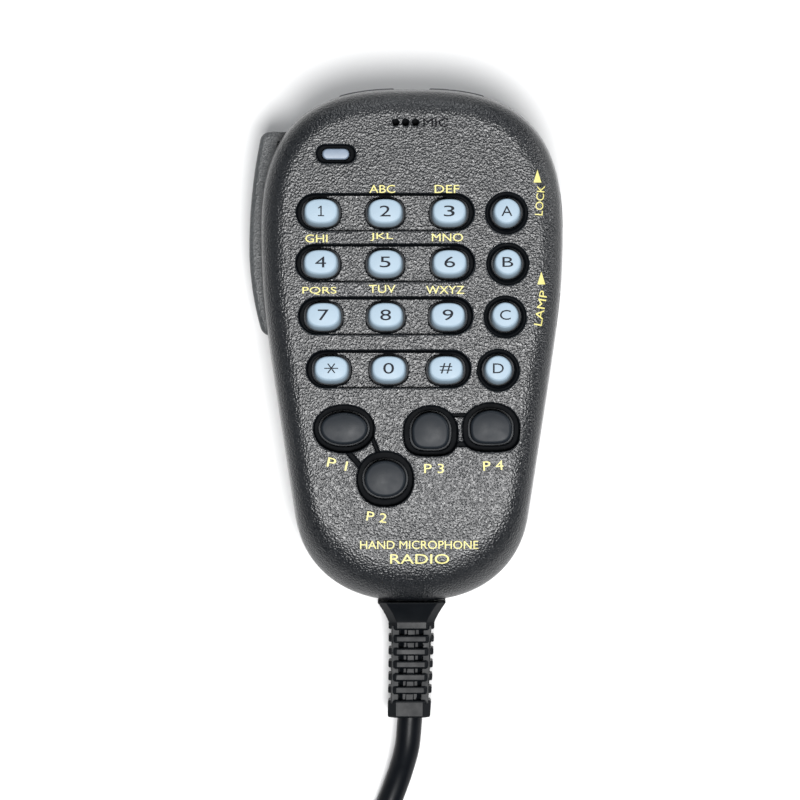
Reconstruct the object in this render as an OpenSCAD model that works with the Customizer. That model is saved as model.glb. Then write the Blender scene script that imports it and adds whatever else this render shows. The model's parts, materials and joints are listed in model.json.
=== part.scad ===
// Hand microphone with a keypad, a talk bar and a curly cord that ends in a modular plug.
// The case is drawn in its own frame: x to the right, y towards the top end, z out of the front,
// with z = 0 on the flat back. place() then lays it down on its hanger button and its heel.

/* [Case] */
// Length of the case from the cord end to the top end
case_len = 105; // [103:0.5:107]
// Half of the greatest width of the case
case_half_w = 31.2; // [30.8:0.1:31.8]
// Depth of the case from the flat back to the crown of the front
case_depth = 27; // [26.8:0.1:27.6]
// Height of the joint between the two shells above the flat back
parting_z = 12.5; // [12.4:0.1:12.8]
// Thickness of the shell walls
wall = 2; // [1.8:0.1:2.1]
// Radius of the roll round the front edge at the sides and the top end
front_roll = 5; // [4.5:0.1:5.5]
// Radius of the roll round the front edge at the cord end
nose_roll = 9; // [8:0.1:9.5]
// Radius of the roll round the back edge
back_roll = 7; // [6.5:0.1:7.5]

/* [Keypad] */
// Width of a number key
key_w = 7.3; // [6.8:0.1:7.6]
// Height of a number key along the case
key_h = 5.7; // [5.4:0.1:5.9]
// Diameter of a letter key
letter_d = 5.9; // [5.5:0.1:6.1]
// How far the number and letter keys stand above the crown of the front
key_rise = 1; // [0.8:0.1:1.4]
// How far the memory keys stand above the crown of the front
memory_rise = 0.4; // [0.2:0.1:0.8]
// Depth of a row's recess below the crown of the front
recess_depth = 1.6; // [1.4:0.1:1.8]
// Gap between an outer key and the end of its row's recess
recess_gap = 1.25; // [1:0.05:1.4]
// Travel of every key
key_travel = 0.8; // [0.5:0.1:0.8]

/* [Talk bar and other controls] */
// Height of the talk bar along the depth of the case
talk_h = 8.7; // [8:0.1:8.8]
// Travel of the two slide switches on the right side
slide_travel = 2.5; // [2:0.1:2.5]

/* [Hanger] */
// Distance of the hanger button above the middle of the case
hanger_y = 20; // [18:0.5:22]
// Diameter of the hanger button's head
hanger_head_d = 15; // [14:0.5:16]
// Diameter of the hanger button's neck
hanger_neck_d = 9; // [8.8:0.1:10]
// Thickness of the hanger button's head
hanger_head_t = 1.6; // [1.6:0.1:2]
// Gap between the head and the back, where the bracket slides in
hanger_gap = 3.2; // [3:0.1:3.2]

/* [Cord] */
// Diameter of the cord
cord_d = 5.1; // [4.8:0.1:5.1]
// Outer diameter of the curly stretch
curl_d = 14.1; // [13.8:0.1:14.4]
// Radius of the fold that the curly stretch is laid in
fold_r = 22; // [21.5:0.1:22.5]
// Length of the strain relief outside the case
relief_len = 24; // [23.5:0.1:24.5]
// Width of the strain relief
relief_w = 9.6; // [9.2:0.1:9.8]
// Height of the strain relief
relief_h = 9; // [8.6:0.1:9.2]

/* [Plug] */
// Width of the modular plug
plug_w = 9.65; // [9.6:0.05:9.7]
// Length of the modular plug's body
plug_len = 12.4; // [12:0.1:13]
// Thickness of the modular plug's body
plug_h = 6.6; // [6.4:0.1:6.8]

/* [Hidden] */
$fn = 48;
outline_steps = 56;
through = 60;

// Outline of the case: shoulders, a taper to the cord end and two rounded ends
half_len = case_len / 2;
taper_start = 41;
taper_blend = 8;
taper_slope = 0.155;
top_corner = 33;
cord_corner = 18;

// Crown of the front, highest at crown_y, with a nose that falls to the cord end
crown_y = 5;
side_dome = 0.5;
long_dome = 0.6;
nose_start = -25;
nose_fall = 0.005;
draft = 0.5;

// Levels inside the case, measured from the flat back
board_z = 18.4;
board_t = 1.6;
mat_z = board_z + board_t;
mat_t = 1.1;
face_inner = 24;
flange_t = 1;
slip = 0.1;
gap = 0.35;
plunger_z = mat_z + key_travel + slip;
moat_floor = 24.2;
moat_t = 1;

// Key layout: each row's height, middle, pitch and letter key
row_y = [27.1, 16.8, 6.1, -4.7];
row_x = [-5.4, -5.4, -5.3, -4.7];
row_pitch = [12.95, 13.05, 12.6, 11.6];
letter_x = [19.2, 19.4, 18.9, 17.5];
number_names = [["key_1", "key_2", "key_3"], ["key_4", "key_5", "key_6"],
  ["key_7", "key_8", "key_9"], ["key_star", "key_0", "key_hash"]];
letter_names = ["key_a", "key_b", "key_c", "key_d"];
recess_h = 7.3;
dish_d = 8.5;
dish_step_d = 7.1;
cap_z = case_depth + key_rise;
cap_edge = 0.5;

// Memory keys: centre, size of the key, size of the moat round it
memory_names = ["p1_key", "p2_key", "p3_key", "p4_key"];
memory_at = [[-13.75, -16.6], [-5.4, -26.8], [3.8, -17.05], [16.05, -16.3]];
memory_key = [[9.7, 6.7], [8.6, 7.6], [7.8, 7.6], [8.6, 7]];
memory_moat = [[12.3, 9.7], [11.5, 11.2], [11, 10.2], [11.6, 9.9]];
// Grooves that link the moats in pairs: middle, turn, length and width
links = [[[-11.55, -22.9], -49, 4.6, 1], [[-7.55, -19.65], -68, 4.4, 0.7],
  [[10.05, -19.7], 0, 4.2, 1], [[10, -13.8], 0, 4.2, 0.7]];
link_depth = 1.1;
memory_z = case_depth + memory_rise;

// Indicator window and sound holes
lens_at = [-15.4, 39.05];
lens_size = [5.4, 2.2];
lens_recess = [7.9, 3.7];
sound_x = [-3.3, -1.3, 0.7];
sound_y = 45.4;
sound_d = 1.3;
capsule_at = [-1.3, 43.9];
boot_r = 3.9;
boot_h = 3.6;

// Posts that hold the shells together, and shorter ones that hold the board
case_posts = [[-22.5, 36], [22.5, 36], [-15.5, -36], [15.5, -36]];
board_posts = [[4.5, 37], [10.6, -30], [-22.8, -10.6]];
post_foot = 9.3;
post_r = 3;
case_screw_r = 1.3;
case_screw_head_r = 2.6;
board_screw_r = 0.9;

// Talk bar: its outer edge, its pivot and the finger that works the switch
talk_x = -33.35;
talk_mid_y = 20;
talk_low_y = 1.9;
talk_top_y = 43.8;
talk_z = 3.5;
pivot = [-24.2, -1.5];
pivot_r = 1;
talk_inner = -26.7;
talk_leg_x = -24.6;
talk_window = [1.2, 44.6];
switch_y = 28;
switch_z = 15;
finger_x = -26.2;

// Step buttons on the top end: near and far ends along x
step_x = [3.5, 15];
step_z = [6, 11];
step_proud = 0.3;
step_flange_y = 47.7;

// Slide switches on the right side: lock above, lamp below
slide_y = [26.5, 6];
slide_z = 15.5;
knob = [4, 4];

// Strain relief, along the case from its cord end
relief_z = 11;
collar_len = 3.8;
collar_flare = 2.4;
block_len = 5.8;
rib_pitch = 2.64;
rib_len = 1.25;
rib_count = 5;
tip_len = 3.6;
jacket_in = 8;

// How the case lies: the tilt at which the hanger button's rim and the heel both touch the floor
heel_draft = 0.4;
hanger_drop = hanger_gap + hanger_head_t;
heel_y = -half_len + heel_draft + back_roll;
rim_dy = hanger_y - hanger_head_d / 2 - heel_y;
rim_dz = back_roll + hanger_drop;
tilt = acos(back_roll / norm([rim_dy, rim_dz])) - atan2(rim_dy, rim_dz);
stand_x = 1.1;
stand_y = 12.3;
stand_z = back_roll * (1 - cos(tilt)) - heel_y * sin(tilt);

// Cord on the floor: the lead, two runs of curly cord joined by a fold, and the tail between them
cord_r = cord_d / 2;
cord_z = 2.6;
curl_z = 7.5;
run_start = [-108, -112];
fold_y = -190;
exit_at = stand([0, -half_len - relief_len, relief_z]);
exit_dir = stand([0, -half_len - relief_len - 1, relief_z]) - exit_at;
lead_points = [[0.2, -71, 7.2], [-1, -75.6, 5], [-2.5, -80, 3.6], [-4.6, -85, 2.8], [-8, -90, cord_z],
  [-13, -94.5, cord_z], [-18, -98.7, cord_z], [-21.2, -103, cord_z], [-fold_r, run_start[0] + 1.2, cord_z],
  [-fold_r, run_start[0], cord_z]];
tail_points = [[fold_r, run_start[1], cord_z], [fold_r, -107, cord_z], [20, -100.4, cord_z],
  [14.6, -95.8, cord_z], [7.4, -95.8, cord_z], [2, -100.4, cord_z], [0, -107, cord_z], [0, -114, cord_z],
  [0, -124, 2.8], [0, -133, 3.3]];
plug_at = [0, -136, 3.3];
plug_turn = -90;
tie_y = -164;
tie_w = 8;
tie_t = 0.4;
contact_pitch = 1.02;

// Placing

// A point of the case frame, where it lies when the case is down on its back
function stand(p) = [p.x + stand_x, p.y * cos(tilt) - p.z * sin(tilt) + stand_y,
  p.y * sin(tilt) + p.z * cos(tilt) + stand_z];

module place() {
  translate([stand_x, stand_y, stand_z]) rotate([tilt, 0, 0]) children();
}

// Shape of the case

function smooth(t) = let (u = min(1, max(0, t))) u * u * (3 - 2 * u);
function taper(d) = case_half_w
  - taper_slope * ((d - taper_start) + norm([d - taper_start, taper_blend])) / 2;
function end_round(t, a, b) = t >= 1 ? 1 : pow(1 - pow(1 - max(0, t), a), 1 / b);
function half_width(y) = taper(half_len - y) * end_round((half_len - y) / top_corner, 2.9, 2.75)
  * end_round((half_len + y) / cord_corner, 2.4, 2.4);
// Height of the top end's edge at a distance x from the middle
function top_edge(x) = half_len
  - top_corner * (1 - pow(1 - pow(abs(x) / case_half_w, 2.75), 1 / 2.9));
function face_z(x, y) = case_depth - side_dome * pow(x / case_half_w, 2)
  - long_dome * pow((y - crown_y) / 40, 2) - nose_fall * pow(max(0, nose_start - y), 2);
function inner_z(x, y) = min(face_inner, face_z(x, y) - wall);
function roll_at(y) = front_roll + (nose_roll - front_roll) * smooth((-30 - y) / 20);

rim = [for (i = [0:outline_steps - 1]) let (a = 360 * i / outline_steps, y = -half_len * cos(a))
  [(a < 180 ? 1 : -1) * half_width(y), y]];

// Point i of the outline, drawn in by a distance at right angles to the edge
function drawn_in(i, inset) = let (
  next = rim[(i + 1) % outline_steps],
  last = rim[(i + outline_steps - 1) % outline_steps],
  run = next - last) rim[i] - inset * [run.y, -run.x] / norm(run);

function level_ring(inset, z) = [for (i = [0:outline_steps - 1]) [each drawn_in(i, inset), z]];

// Ring of the front roll at angle t up it, on the outside (skin = 0) or the inside (skin = wall)
function front_ring(t, skin) = [for (i = [0:outline_steps - 1]) let (
  roll = roll_at(rim[i].y),
  crest = drawn_in(i, draft + roll),
  p = drawn_in(i, draft + skin + (roll - skin) * (1 - cos(t))),
  top = skin > 0 ? inner_z(crest.x, crest.y) : face_z(crest.x, crest.y))
  [p.x, p.y, top - (roll - skin) * (1 - sin(t))]];

// Ring of the front's face, at a share k of the way out from the middle to the roll
function face_ring(k, skin) = [for (i = [0:outline_steps - 1]) let (
  p = drawn_in(i, draft + roll_at(rim[i].y)) * k)
  [p.x, p.y, skin > 0 ? inner_z(p.x, p.y) : face_z(p.x, p.y)]];

function crown_ring(k, z) = [for (i = [0:outline_steps - 1]) let (
  p = drawn_in(i, draft + roll_at(rim[i].y)) * k) [p.x, p.y, z]];

function back_ring(t, skin) = level_ring(heel_draft + skin + (back_roll - skin) * (1 - cos(t)),
  back_roll - (back_roll - skin) * sin(t));

// Solid through a stack of rings with equally many points, lowest ring first
module loft(rings) {
  n = len(rings[0]);
  m = len(rings);
  sides = [for (k = [0:m - 2], i = [0:n - 1]) let (a = k * n + i, b = k * n + (i + 1) % n)
    each [[a, a + n, b + n], [a, b + n, b]]];
  polyhedron([for (r = rings) each r],
    concat([[for (i = [0:n - 1]) i]], sides, [[for (i = [n - 1:-1:0]) (m - 1) * n + i]]));
}

// Plain shapes

function power(v, e) = sign(v) * pow(abs(v), e);

module oval(size, grow = 0) {
  w = size.x / 2 + grow;
  h = size.y / 2 + grow;
  polygon([for (i = [0:31]) let (a = i * 360 / 32) [w * power(cos(a), 0.8), h * power(sin(a), 0.8)]]);
}

module slot(size) {
  r = size.y / 2;
  for (s = [-1, 1]) translate([s * (size.x / 2 - r), 0]) circle(r);
  square([size.x - size.y, size.y], center = true);
}

module round_rect(size, r) {
  corners = [[1, 1], [-1, 1], [-1, -1], [1, -1]];
  polygon([for (k = [0:3], t = [0:15:90]) let (a = k * 90 + t)
    [corners[k].x * (size.x / 2 - r) + r * cos(a), corners[k].y * (size.y / 2 - r) + r * sin(a)]]);
}

module box(low, high) {
  translate(low) cube(high - low);
}

// Tube along a list of points
module tube(path, r, sides) {
  last = len(path) - 1;
  loft([for (i = [0:last]) let (
    run = path[min(i + 1, last)] - path[max(i - 1, 0)],
    ahead = run / norm(run),
    across = cross(ahead, [0, 0, 1]) / norm(cross(ahead, [0, 0, 1])),
    up = cross(across, ahead))
    [for (k = [0:sides - 1]) let (a = 360 * k / sides) path[i] + r * (cos(a) * across + sin(a) * up)]]);
}

// Shells

module front_solid() {
  loft(concat([level_ring(0, parting_z)], [for (t = [0:18:90]) front_ring(t, 0)],
    [face_ring(0.7, 0), face_ring(0.45, 0), crown_ring(0.2, case_depth)]));
}

module front_hollow() {
  loft(concat([level_ring(wall, parting_z - 1)], [for (t = [0:30:90]) front_ring(t, wall)],
    [face_ring(0.6, wall), crown_ring(0.3, face_inner)]));
}

module rear_solid() {
  loft(concat([for (t = [90:-18:0]) back_ring(t, 0)], [level_ring(0, parting_z)]));
}

module rear_hollow() {
  loft(concat([for (t = [90:-30:0]) back_ring(t, wall)], [level_ring(wall, parting_z + 1)]));
}

function number_at(r, c) = [row_x[r] + (c - 1) * row_pitch[r], row_y[r]];
function letter_at(r) = [letter_x[r], row_y[r]];

module number_openings() {
  for (r = [0:3]) {
    translate([row_x[r], row_y[r], case_depth - recess_depth]) linear_extrude(through)
      slot([2 * row_pitch[r] + key_w + 2 * recess_gap, recess_h]);
    for (c = [0:2]) translate(number_at(r, c)) linear_extrude(through) oval([key_w, key_h], gap);
  }
}

module letter_openings() {
  for (r = [0:3]) translate(letter_at(r)) {
    translate([0, 0, case_depth - 1]) cylinder(d = dish_d, h = through);
    translate([0, 0, case_depth - recess_depth]) cylinder(d = dish_step_d, h = through);
    cylinder(d = letter_d + 2 * gap, h = through);
  }
}

module memory_openings() {
  for (i = [0:3]) translate(memory_at[i]) {
    translate([0, 0, moat_floor]) linear_extrude(through) oval(memory_moat[i]);
    linear_extrude(through) oval(memory_key[i], gap);
  }
  for (g = links) translate([g[0].x, g[0].y, case_depth - link_depth]) rotate(g[1])
    box([-g[2] / 2, -g[3] / 2, 0], [g[2] / 2, g[3] / 2, 9]);
}

module top_openings() {
  translate([lens_at.x, lens_at.y, 25.2]) linear_extrude(through) slot(lens_recess);
  translate(lens_at) linear_extrude(through) slot(lens_size);
  for (x = sound_x) translate([x, sound_y, face_inner - 2]) cylinder(d = sound_d, h = through);
}

// Frame of a slide switch: on the right side's edge, y along the wall towards the top end
module at_side(k) {
  y = slide_y[k];
  lean = atan((half_width(y + 2) - half_width(y - 2)) / 4);
  translate([half_width(y) - draft, y, slide_z]) rotate(-lean) children();
}

module slide_openings() {
  for (k = [0, 1]) at_side(k)
    box([-4, -knob.x / 2 - gap, -knob.y / 2 - gap], [4, knob.x / 2 + slide_travel + gap, knob.y / 2 + gap]);
}

module relief_opening() {
  translate([0, 1 - half_len + wall, relief_z]) rotate([90, 0, 0]) linear_extrude(9)
    round_rect([relief_w + 0.4, relief_h + 0.4], 1.4);
}

module front_case() place() color([0.2, 0.21, 0.22]) difference() {
  union() {
    difference() {
      front_solid();
      front_hollow();
    }
    for (i = [0:3]) translate([memory_at[i].x, memory_at[i].y, moat_floor - moat_t])
      linear_extrude(1.3) oval(memory_moat[i], 1);
    for (p = case_posts) translate([p.x, p.y, post_foot])
      cylinder(r = post_r, h = inner_z(p.x, p.y) + 0.5 - post_foot);
    for (p = board_posts) translate([p.x, p.y, mat_z])
      cylinder(r = 2.2, h = inner_z(p.x, p.y) + 0.5 - mat_z);
  }
  number_openings();
  letter_openings();
  memory_openings();
  top_openings();
  slide_openings();
  relief_opening();
  for (p = case_posts) translate([p.x, p.y, post_foot - 1]) cylinder(r = case_screw_r, h = 12);
  for (p = board_posts) translate([p.x, p.y, mat_z - 1]) cylinder(r = board_screw_r, h = 4);
}

// Ribs and towers inside the rear shell
module rear_fittings() {
  for (p = case_posts) translate([p.x, p.y, 1.9]) cylinder(r = post_r + 0.75, h = post_foot - 2);
  translate([0, hanger_y, wall / 2]) cylinder(r = 4.6, h = 8);
  translate([pivot.x, pivot.y, wall]) cylinder(r = 2.6, h = talk_z - wall - 0.2);
  box([-27.4, pivot.y - 4, wall], [-21.5, pivot.y - 2.7, parting_z - 0.1]);
  box([-26.2, pivot.y - 4, wall], [-21.5, pivot.y - 2.7, 14]);
  box([-26.2, pivot.y - 4, talk_z + talk_h + 0.15], [-21.5, pivot.y + 2.5, 14]);
  box([-19.4, 5, wall / 2], [-18, 15, 10.5]);
  for (s = [-1, 1]) box([s * 9.2 - 0.8, -48.6, 3], [s * 9.2 + 0.8, -42, 12]);
}

module rear_case() place() color([0.16, 0.165, 0.17]) difference() {
  union() {
    difference() {
      rear_solid();
      rear_hollow();
      box([-40, talk_window[0], talk_z - 0.4], [-22.4, talk_window[1], parting_z + 1]);
      box([pivot.x - 2.9, pivot.y, talk_z - 0.3], [-22.4, talk_window[0] + 0.1, parting_z + 1]);
      translate([pivot.x, pivot.y, talk_z - 0.3]) cylinder(r = 2.8, h = 10);
    }
    rear_fittings();
  }
  for (s = [-1, 1]) box([min(s * step_x[0], s * step_x[1]) - 0.3, 45, step_z[0] - 0.3],
    [max(s * step_x[0], s * step_x[1]) + 0.3, 60, step_z[1] + 0.3]);
  relief_opening();
  for (p = case_posts) translate([p.x, p.y, -1]) {
    cylinder(r = case_screw_head_r + 0.3, h = 7.4);
    cylinder(r = case_screw_r + 0.2, h = 20);
  }
  translate([0, hanger_y, -1]) cylinder(r = 1.75, h = 9);
  translate([pivot.x, pivot.y, 2.4]) cylinder(r = pivot_r, h = 20);
  box([-18, -24, -1], [18, -2, 0.4]);
}

module case_screws() place() color("dimgray") for (p = case_posts) translate([p.x, p.y, 4.4])
  difference() {
    union() {
      cylinder(r = case_screw_head_r, h = 2);
      cylinder(r = case_screw_r, h = 14);
    }
    for (a = [0, 90]) rotate(a) box([-1.5, -0.3, -1], [1.5, 0.3, 1]);
  }

// Hanger

module hanger_button() place() color([0.3, 0.3, 0.31]) translate([0, hanger_y, -hanger_drop])
  difference() {
    union() {
      cylinder(d = hanger_head_d, h = hanger_head_t);
      cylinder(d = hanger_neck_d, h = hanger_drop);
    }
    translate([0, 0, -1]) cylinder(r = 3.6, h = 3.4);
    cylinder(r = 1.85, h = through);
  }

module hanger_washer() place() color("silver") translate([0, hanger_y, 1.6 - hanger_drop]) difference() {
  cylinder(r = 3.4, h = 0.8);
  translate([0, 0, -1]) cylinder(r = 1.85, h = 3);
}

module hanger_screw() place() color("silver") translate([0, hanger_y, 0.1 - hanger_drop]) difference() {
  union() {
    cylinder(r = 3.3, h = 1.5);
    cylinder(r = 1.75, h = hanger_drop + 7);
  }
  for (a = [0, 90]) rotate(a) box([-2, -0.35, -1], [2, 0.35, 0.9]);
}

// Electronics

module main_board() place() color([0.12, 0.35, 0.22]) translate([0, 0, board_z]) linear_extrude(board_t)
  difference() {
    intersection() {
      polygon([for (p = level_ring(wall + 1.4, 0)) [p.x, p.y]]);
      translate([-40, -39]) square([80, 100]);
    }
    for (p = case_posts) translate(p) circle(post_r + 0.3);
    for (p = board_posts) translate(p) circle(board_screw_r + 0.2);
  }

module board_screws() place() color("silver") for (p = board_posts) translate([p.x, p.y, board_z - 1.3]) {
  cylinder(r = 1.9, h = 1.3);
  cylinder(r = board_screw_r, h = 1.3 + board_t + 2.6);
}

led_at = [for (r = [0:2], c = [-1, 1]) [row_x[r] + c * row_pitch[r] / 2, row_y[r] - 5.3]];

module keypad_mat() place() color([0.24, 0.25, 0.26]) translate([0, 0, mat_z]) linear_extrude(mat_t)
  difference() {
    intersection() {
      polygon([for (p = level_ring(wall + 2.8, 0)) [p.x, p.y]]);
      translate([-40, -36.5]) square([80, 70.5]);
    }
    for (r = [0:3], c = [0:2]) translate(number_at(r, c)) oval([key_w, key_h], -0.8);
    for (r = [0:3]) translate(letter_at(r)) circle(2.5);
    for (i = [0:3]) translate(memory_at[i]) oval(memory_key[i], -1);
    for (p = case_posts) translate(p) circle(post_r + 0.3);
    for (p = board_posts) translate(p) circle(2.5);
    for (p = led_at) translate(p) circle(1.3);
  }

module controller_chip() place() color([0.1, 0.1, 0.11]) translate([4, 6, board_z]) {
  box([-5, -5, -1.8], [5, 5, -0.2]);
  for (a = [0:90:270], i = [-5:5]) rotate(a) color("silver") {
    box([4.9, i * 0.8 - 0.15, -1.1], [6.1, i * 0.8 + 0.15, -0.9]);
    box([5.9, i * 0.8 - 0.15, -1.1], [6.2, i * 0.8 + 0.15, 0]);
  }
}

module board_parts() place() translate([0, 0, board_z]) {
  color("silver") translate([-9, 12, -3.5]) linear_extrude(3.5) slot([11.2, 4.6]);
  color([0.15, 0.15, 0.2]) translate([16, 20, -5.4]) cylinder(r = 2.5, h = 5.4);
  color("tan") for (i = [0:4]) translate([-14 + 3.4 * i, -12, 0]) box([-1, -0.6, -0.7], [1, 0.6, 0]);
  color([0.1, 0.1, 0.11]) for (i = [0:3]) translate([10 + 3.2 * i, -14, 0]) box([-1, -0.6, -0.6], [1, 0.6, 0]);
}

module backlight_leds() place() color("khaki") for (p = led_at) translate([p.x, p.y, mat_z])
  box([-0.8, -0.4, 0], [0.8, 0.4, 0.7]);

module mic_boot() place() color([0.1, 0.1, 0.1]) translate([capsule_at.x, capsule_at.y, mat_z])
  difference() {
    cylinder(r = boot_r, h = boot_h);
    translate([0, 0, -1]) cylinder(r = 3, h = 6);
  }

module mic_capsule() place() color("silver") translate([capsule_at.x, capsule_at.y, mat_z + 0.6]) {
  cylinder(r = 3, h = 2.7);
  for (s = [-1, 1]) translate([s * 1.2, 0, -0.6]) cylinder(r = 0.25, h = 1);
}

module indicator_led() place() color("gainsboro") translate([lens_at.x, lens_at.y, mat_z])
  box([-1.6, -0.8, 0], [1.6, 0.8, 1.4]);

module indicator_lens() place() color([0.6, 0.7, 0.8]) translate([lens_at.x, lens_at.y, 0]) {
  translate([0, 0, 22.9]) linear_extrude(3) slot(lens_size);
  translate([0, 0, 22.8]) linear_extrude(face_inner - 22.8) slot([lens_size.x + 1.6, lens_size.y + 1.6]);
}

// Keys: a cap, a flange under the front that keeps it in, and a plunger over the board

module number_key(r, c) place() color([0.62, 0.7, 0.76]) translate(number_at(r, c)) {
  size = [key_w, key_h];
  top = face_inner - slip;
  translate([0, 0, top - flange_t / 2]) linear_extrude(cap_z - cap_edge - top + flange_t / 2) oval(size);
  translate([0, 0, cap_z - cap_edge]) linear_extrude(cap_edge) oval(size, -0.5);
  translate([0, 0, top - flange_t]) linear_extrude(flange_t) oval(size, 0.7);
  translate([0, 0, plunger_z]) linear_extrude(top - plunger_z - flange_t) oval(size, -1.2);
}

module letter_key(r) place() color([0.62, 0.7, 0.76]) translate(letter_at(r)) {
  top = face_inner - slip;
  translate([0, 0, top - flange_t / 2]) cylinder(d = letter_d, h = cap_z - cap_edge - top + flange_t / 2);
  translate([0, 0, cap_z - cap_edge]) cylinder(d = letter_d - 1, h = cap_edge);
  translate([0, 0, top - flange_t]) cylinder(d = letter_d + 1.6, h = flange_t);
  translate([0, 0, plunger_z]) cylinder(r = 2, h = top - plunger_z - flange_t);
}

module memory_key_cap(i) place() color([0.22, 0.23, 0.25]) translate(memory_at[i]) {
  top = moat_floor - moat_t - slip;
  translate([0, 0, top - flange_t / 2]) linear_extrude(memory_z - cap_edge - top + flange_t / 2)
    oval(memory_key[i]);
  translate([0, 0, memory_z - cap_edge]) linear_extrude(cap_edge) oval(memory_key[i], -0.6);
  translate([0, 0, top - flange_t]) linear_extrude(flange_t) oval(memory_key[i], 0.8);
  translate([0, 0, plunger_z]) linear_extrude(top - plunger_z - flange_t) oval(memory_key[i], -1.5);
}

// Talk bar on the left side

function talk_edge(y) = talk_x + (y > talk_mid_y ? 0.0046 : 0.0085) * pow(y - talk_mid_y, 2);

module talk_bar() place() color([0.24, 0.25, 0.26]) difference() {
  union() {
    translate([0, 0, talk_z]) linear_extrude(talk_h) polygon(concat(
      [for (t = [0:1 / 12:1]) let (y = talk_low_y + t * (talk_top_y - 1 - talk_low_y)) [talk_edge(y), y]],
      [[talk_edge(talk_top_y) + 0.4, talk_top_y - 0.3], [talk_edge(talk_top_y) + 1.2, talk_top_y],
      [talk_leg_x, talk_top_y], [talk_leg_x, talk_top_y - 2.2], [-28.9, talk_top_y - 2.2], [-28.9, 31],
      [talk_inner, 30], [talk_inner, 6], [-22, 3], [-21.8, pivot.y], [-26.6, pivot.y], [-26.8, 1.9]]));
    translate([pivot.x, pivot.y, talk_z]) cylinder(r = 2.5, h = talk_h);
    // Lip behind the front shell's wall, and the finger that meets the switch
    box([-27.8, 14, talk_z + talk_h - 1], [talk_inner, 30, 14.4]);
    box([-27.8, switch_y - 2, talk_z + talk_h - 1], [finger_x, switch_y + 2, switch_z + 1.6]);
  }
  translate([pivot.x, pivot.y, 0]) cylinder(r = pivot_r + 0.05, h = through);
  translate([-28.2, 10, 7.8]) rotate([0, 90, 0]) cylinder(r = 2.8, h = 9);
  for (y = [15.5, 23]) box([-30.6, y, talk_z + 1.2], [-20, y + 6, talk_z + talk_h - 1.8]);
}

module talk_pin() place() color("silver") translate([pivot.x, pivot.y, 2.4])
  cylinder(r = pivot_r, h = 11.6);

module talk_spring() place() color("silver") translate([0, 10, 7.8])
  tube([for (t = [0:1 / 10:6]) [-27.9 + 8.15 * t / 6, 2 * cos(360 * t), 2 * sin(360 * t)]], 0.25, 6);

module talk_switch() place() color([0.13, 0.13, 0.14]) difference() {
  box([-23.6, switch_y - 3.1, 11.9], [-17.6, switch_y + 3.1, board_z]);
  translate([-25, switch_y, switch_z]) rotate([0, 90, 0]) cylinder(r = 1.3, h = 5);
}

module talk_plunger() place() color("ivory") translate([finger_x + 0.2, switch_y, switch_z])
  rotate([0, 90, 0]) cylinder(r = 1.2, h = 4);

// Step buttons on the top end

module step_button(s) place() color([0.24, 0.25, 0.26]) {
  translate([0, 0, step_z[0]]) linear_extrude(step_z[1] - step_z[0]) polygon(concat(
    [for (t = [0:1 / 8:1]) let (x = step_x[0] + t * (step_x[1] - step_x[0])) [s * x, top_edge(x) + step_proud]],
    [[s * step_x[1], step_flange_y - 0.5], [s * step_x[0], step_flange_y - 0.5]]));
  box([s * 9.25 - 6.3, step_flange_y - 1.2, step_z[0] - 0.8],
    [s * 9.25 + 6.3, step_flange_y, step_z[1] + 0.8]);
  translate([s * 9.25, step_flange_y - 1, 8.5]) rotate([90, 0, 0]) cylinder(r = 1.2, h = 0.75);
}

module up_button() step_button(1);
module down_button() step_button(-1);

module step_switches() place() color([0.13, 0.13, 0.14]) for (s = [-1, 1])
  box([s * 9.25 - 3, 42.1, 5.5], [s * 9.25 + 3, 45.1, 11.5]);

module step_board() place() color([0.12, 0.35, 0.22]) box([-14, 40.9, 4], [14, 42.1, 12.5]);

// Slide switches on the right side

module slider(k) place() color([0.28, 0.29, 0.3]) at_side(k) {
  box([-2.9, -knob.x / 2, -knob.y / 2], [0.1, knob.x / 2, knob.y / 2]);
  box([-3.3, -4.8, -knob.y / 2 - 0.8], [-2.75, 5, knob.y / 2 + 0.8]);
  box([-5, -0.75, -0.75], [-2.9, 0.75, 0.75]);
}

module lock_slider() slider(0);
module lamp_slider() slider(1);

module slide_switches() place() color([0.55, 0.56, 0.58]) for (k = [0, 1]) at_side(k) difference() {
  box([-7.4, -4.2, -2.4], [-3.6, 4.2 + slide_travel / 2, board_z - slide_z]);
  box([-5.4, -1.1, -1.1], [-3, 1.1 + slide_travel, 1.1]);
}

// Wiring inside the case

module harness_socket() place() color("ivory") difference() {
  box([-8, -33, board_z - 5], [8, -27, board_z]);
  box([-7.2, -32.2, board_z - 6], [7.2, -27.8, board_z - 1.2]);
}

module harness_plug() place() color("white") box([-7.1, -32.1, board_z - 7], [7.1, -27.9, board_z - 3]);

module cord_wires() place() color("firebrick") for (i = [0:5]) {
  s = i - 2.5;
  tube([[s * 2, -30, board_z - 7], [s * 2, -30.2, 9.6], [s * 1.8, -32, 7.6], [s * 1.2, -36, 7.4],
    [s * 0.7, -40, 9], [s * 0.64, 0.5 + jacket_in - half_len, relief_z],
    [s * 0.64, jacket_in - half_len, relief_z]], 0.3, 6);
}

module cord_jacket() place() color([0.1, 0.1, 0.11])
  translate([0, jacket_in - half_len, relief_z]) rotate([90, 0, 0])
    cylinder(r = cord_r, h = jacket_in + relief_len);

module cord_anchor() place() color("silver") translate([0, jacket_in - half_len - 1, relief_z])
  rotate([90, 0, 0]) difference() {
    cylinder(r = cord_r + 1, h = 2.6);
    translate([0, 0, -1]) cylinder(r = cord_r, h = 6);
  }

// Strain relief: a flared collar, a block, ribs joined by bars, and a plain tip

function flare(t) = collar_flare * (1 - sqrt(1 - pow(1 - t, 2)));

module collar_side(half) {
  edge = [for (t = [0:1 / 8:1]) [half + flare(t), t * collar_len]];
  polygon(concat(edge, [for (i = [len(edge) - 1:-1:0]) [-edge[i].x, edge[i].y]]));
}

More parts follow.
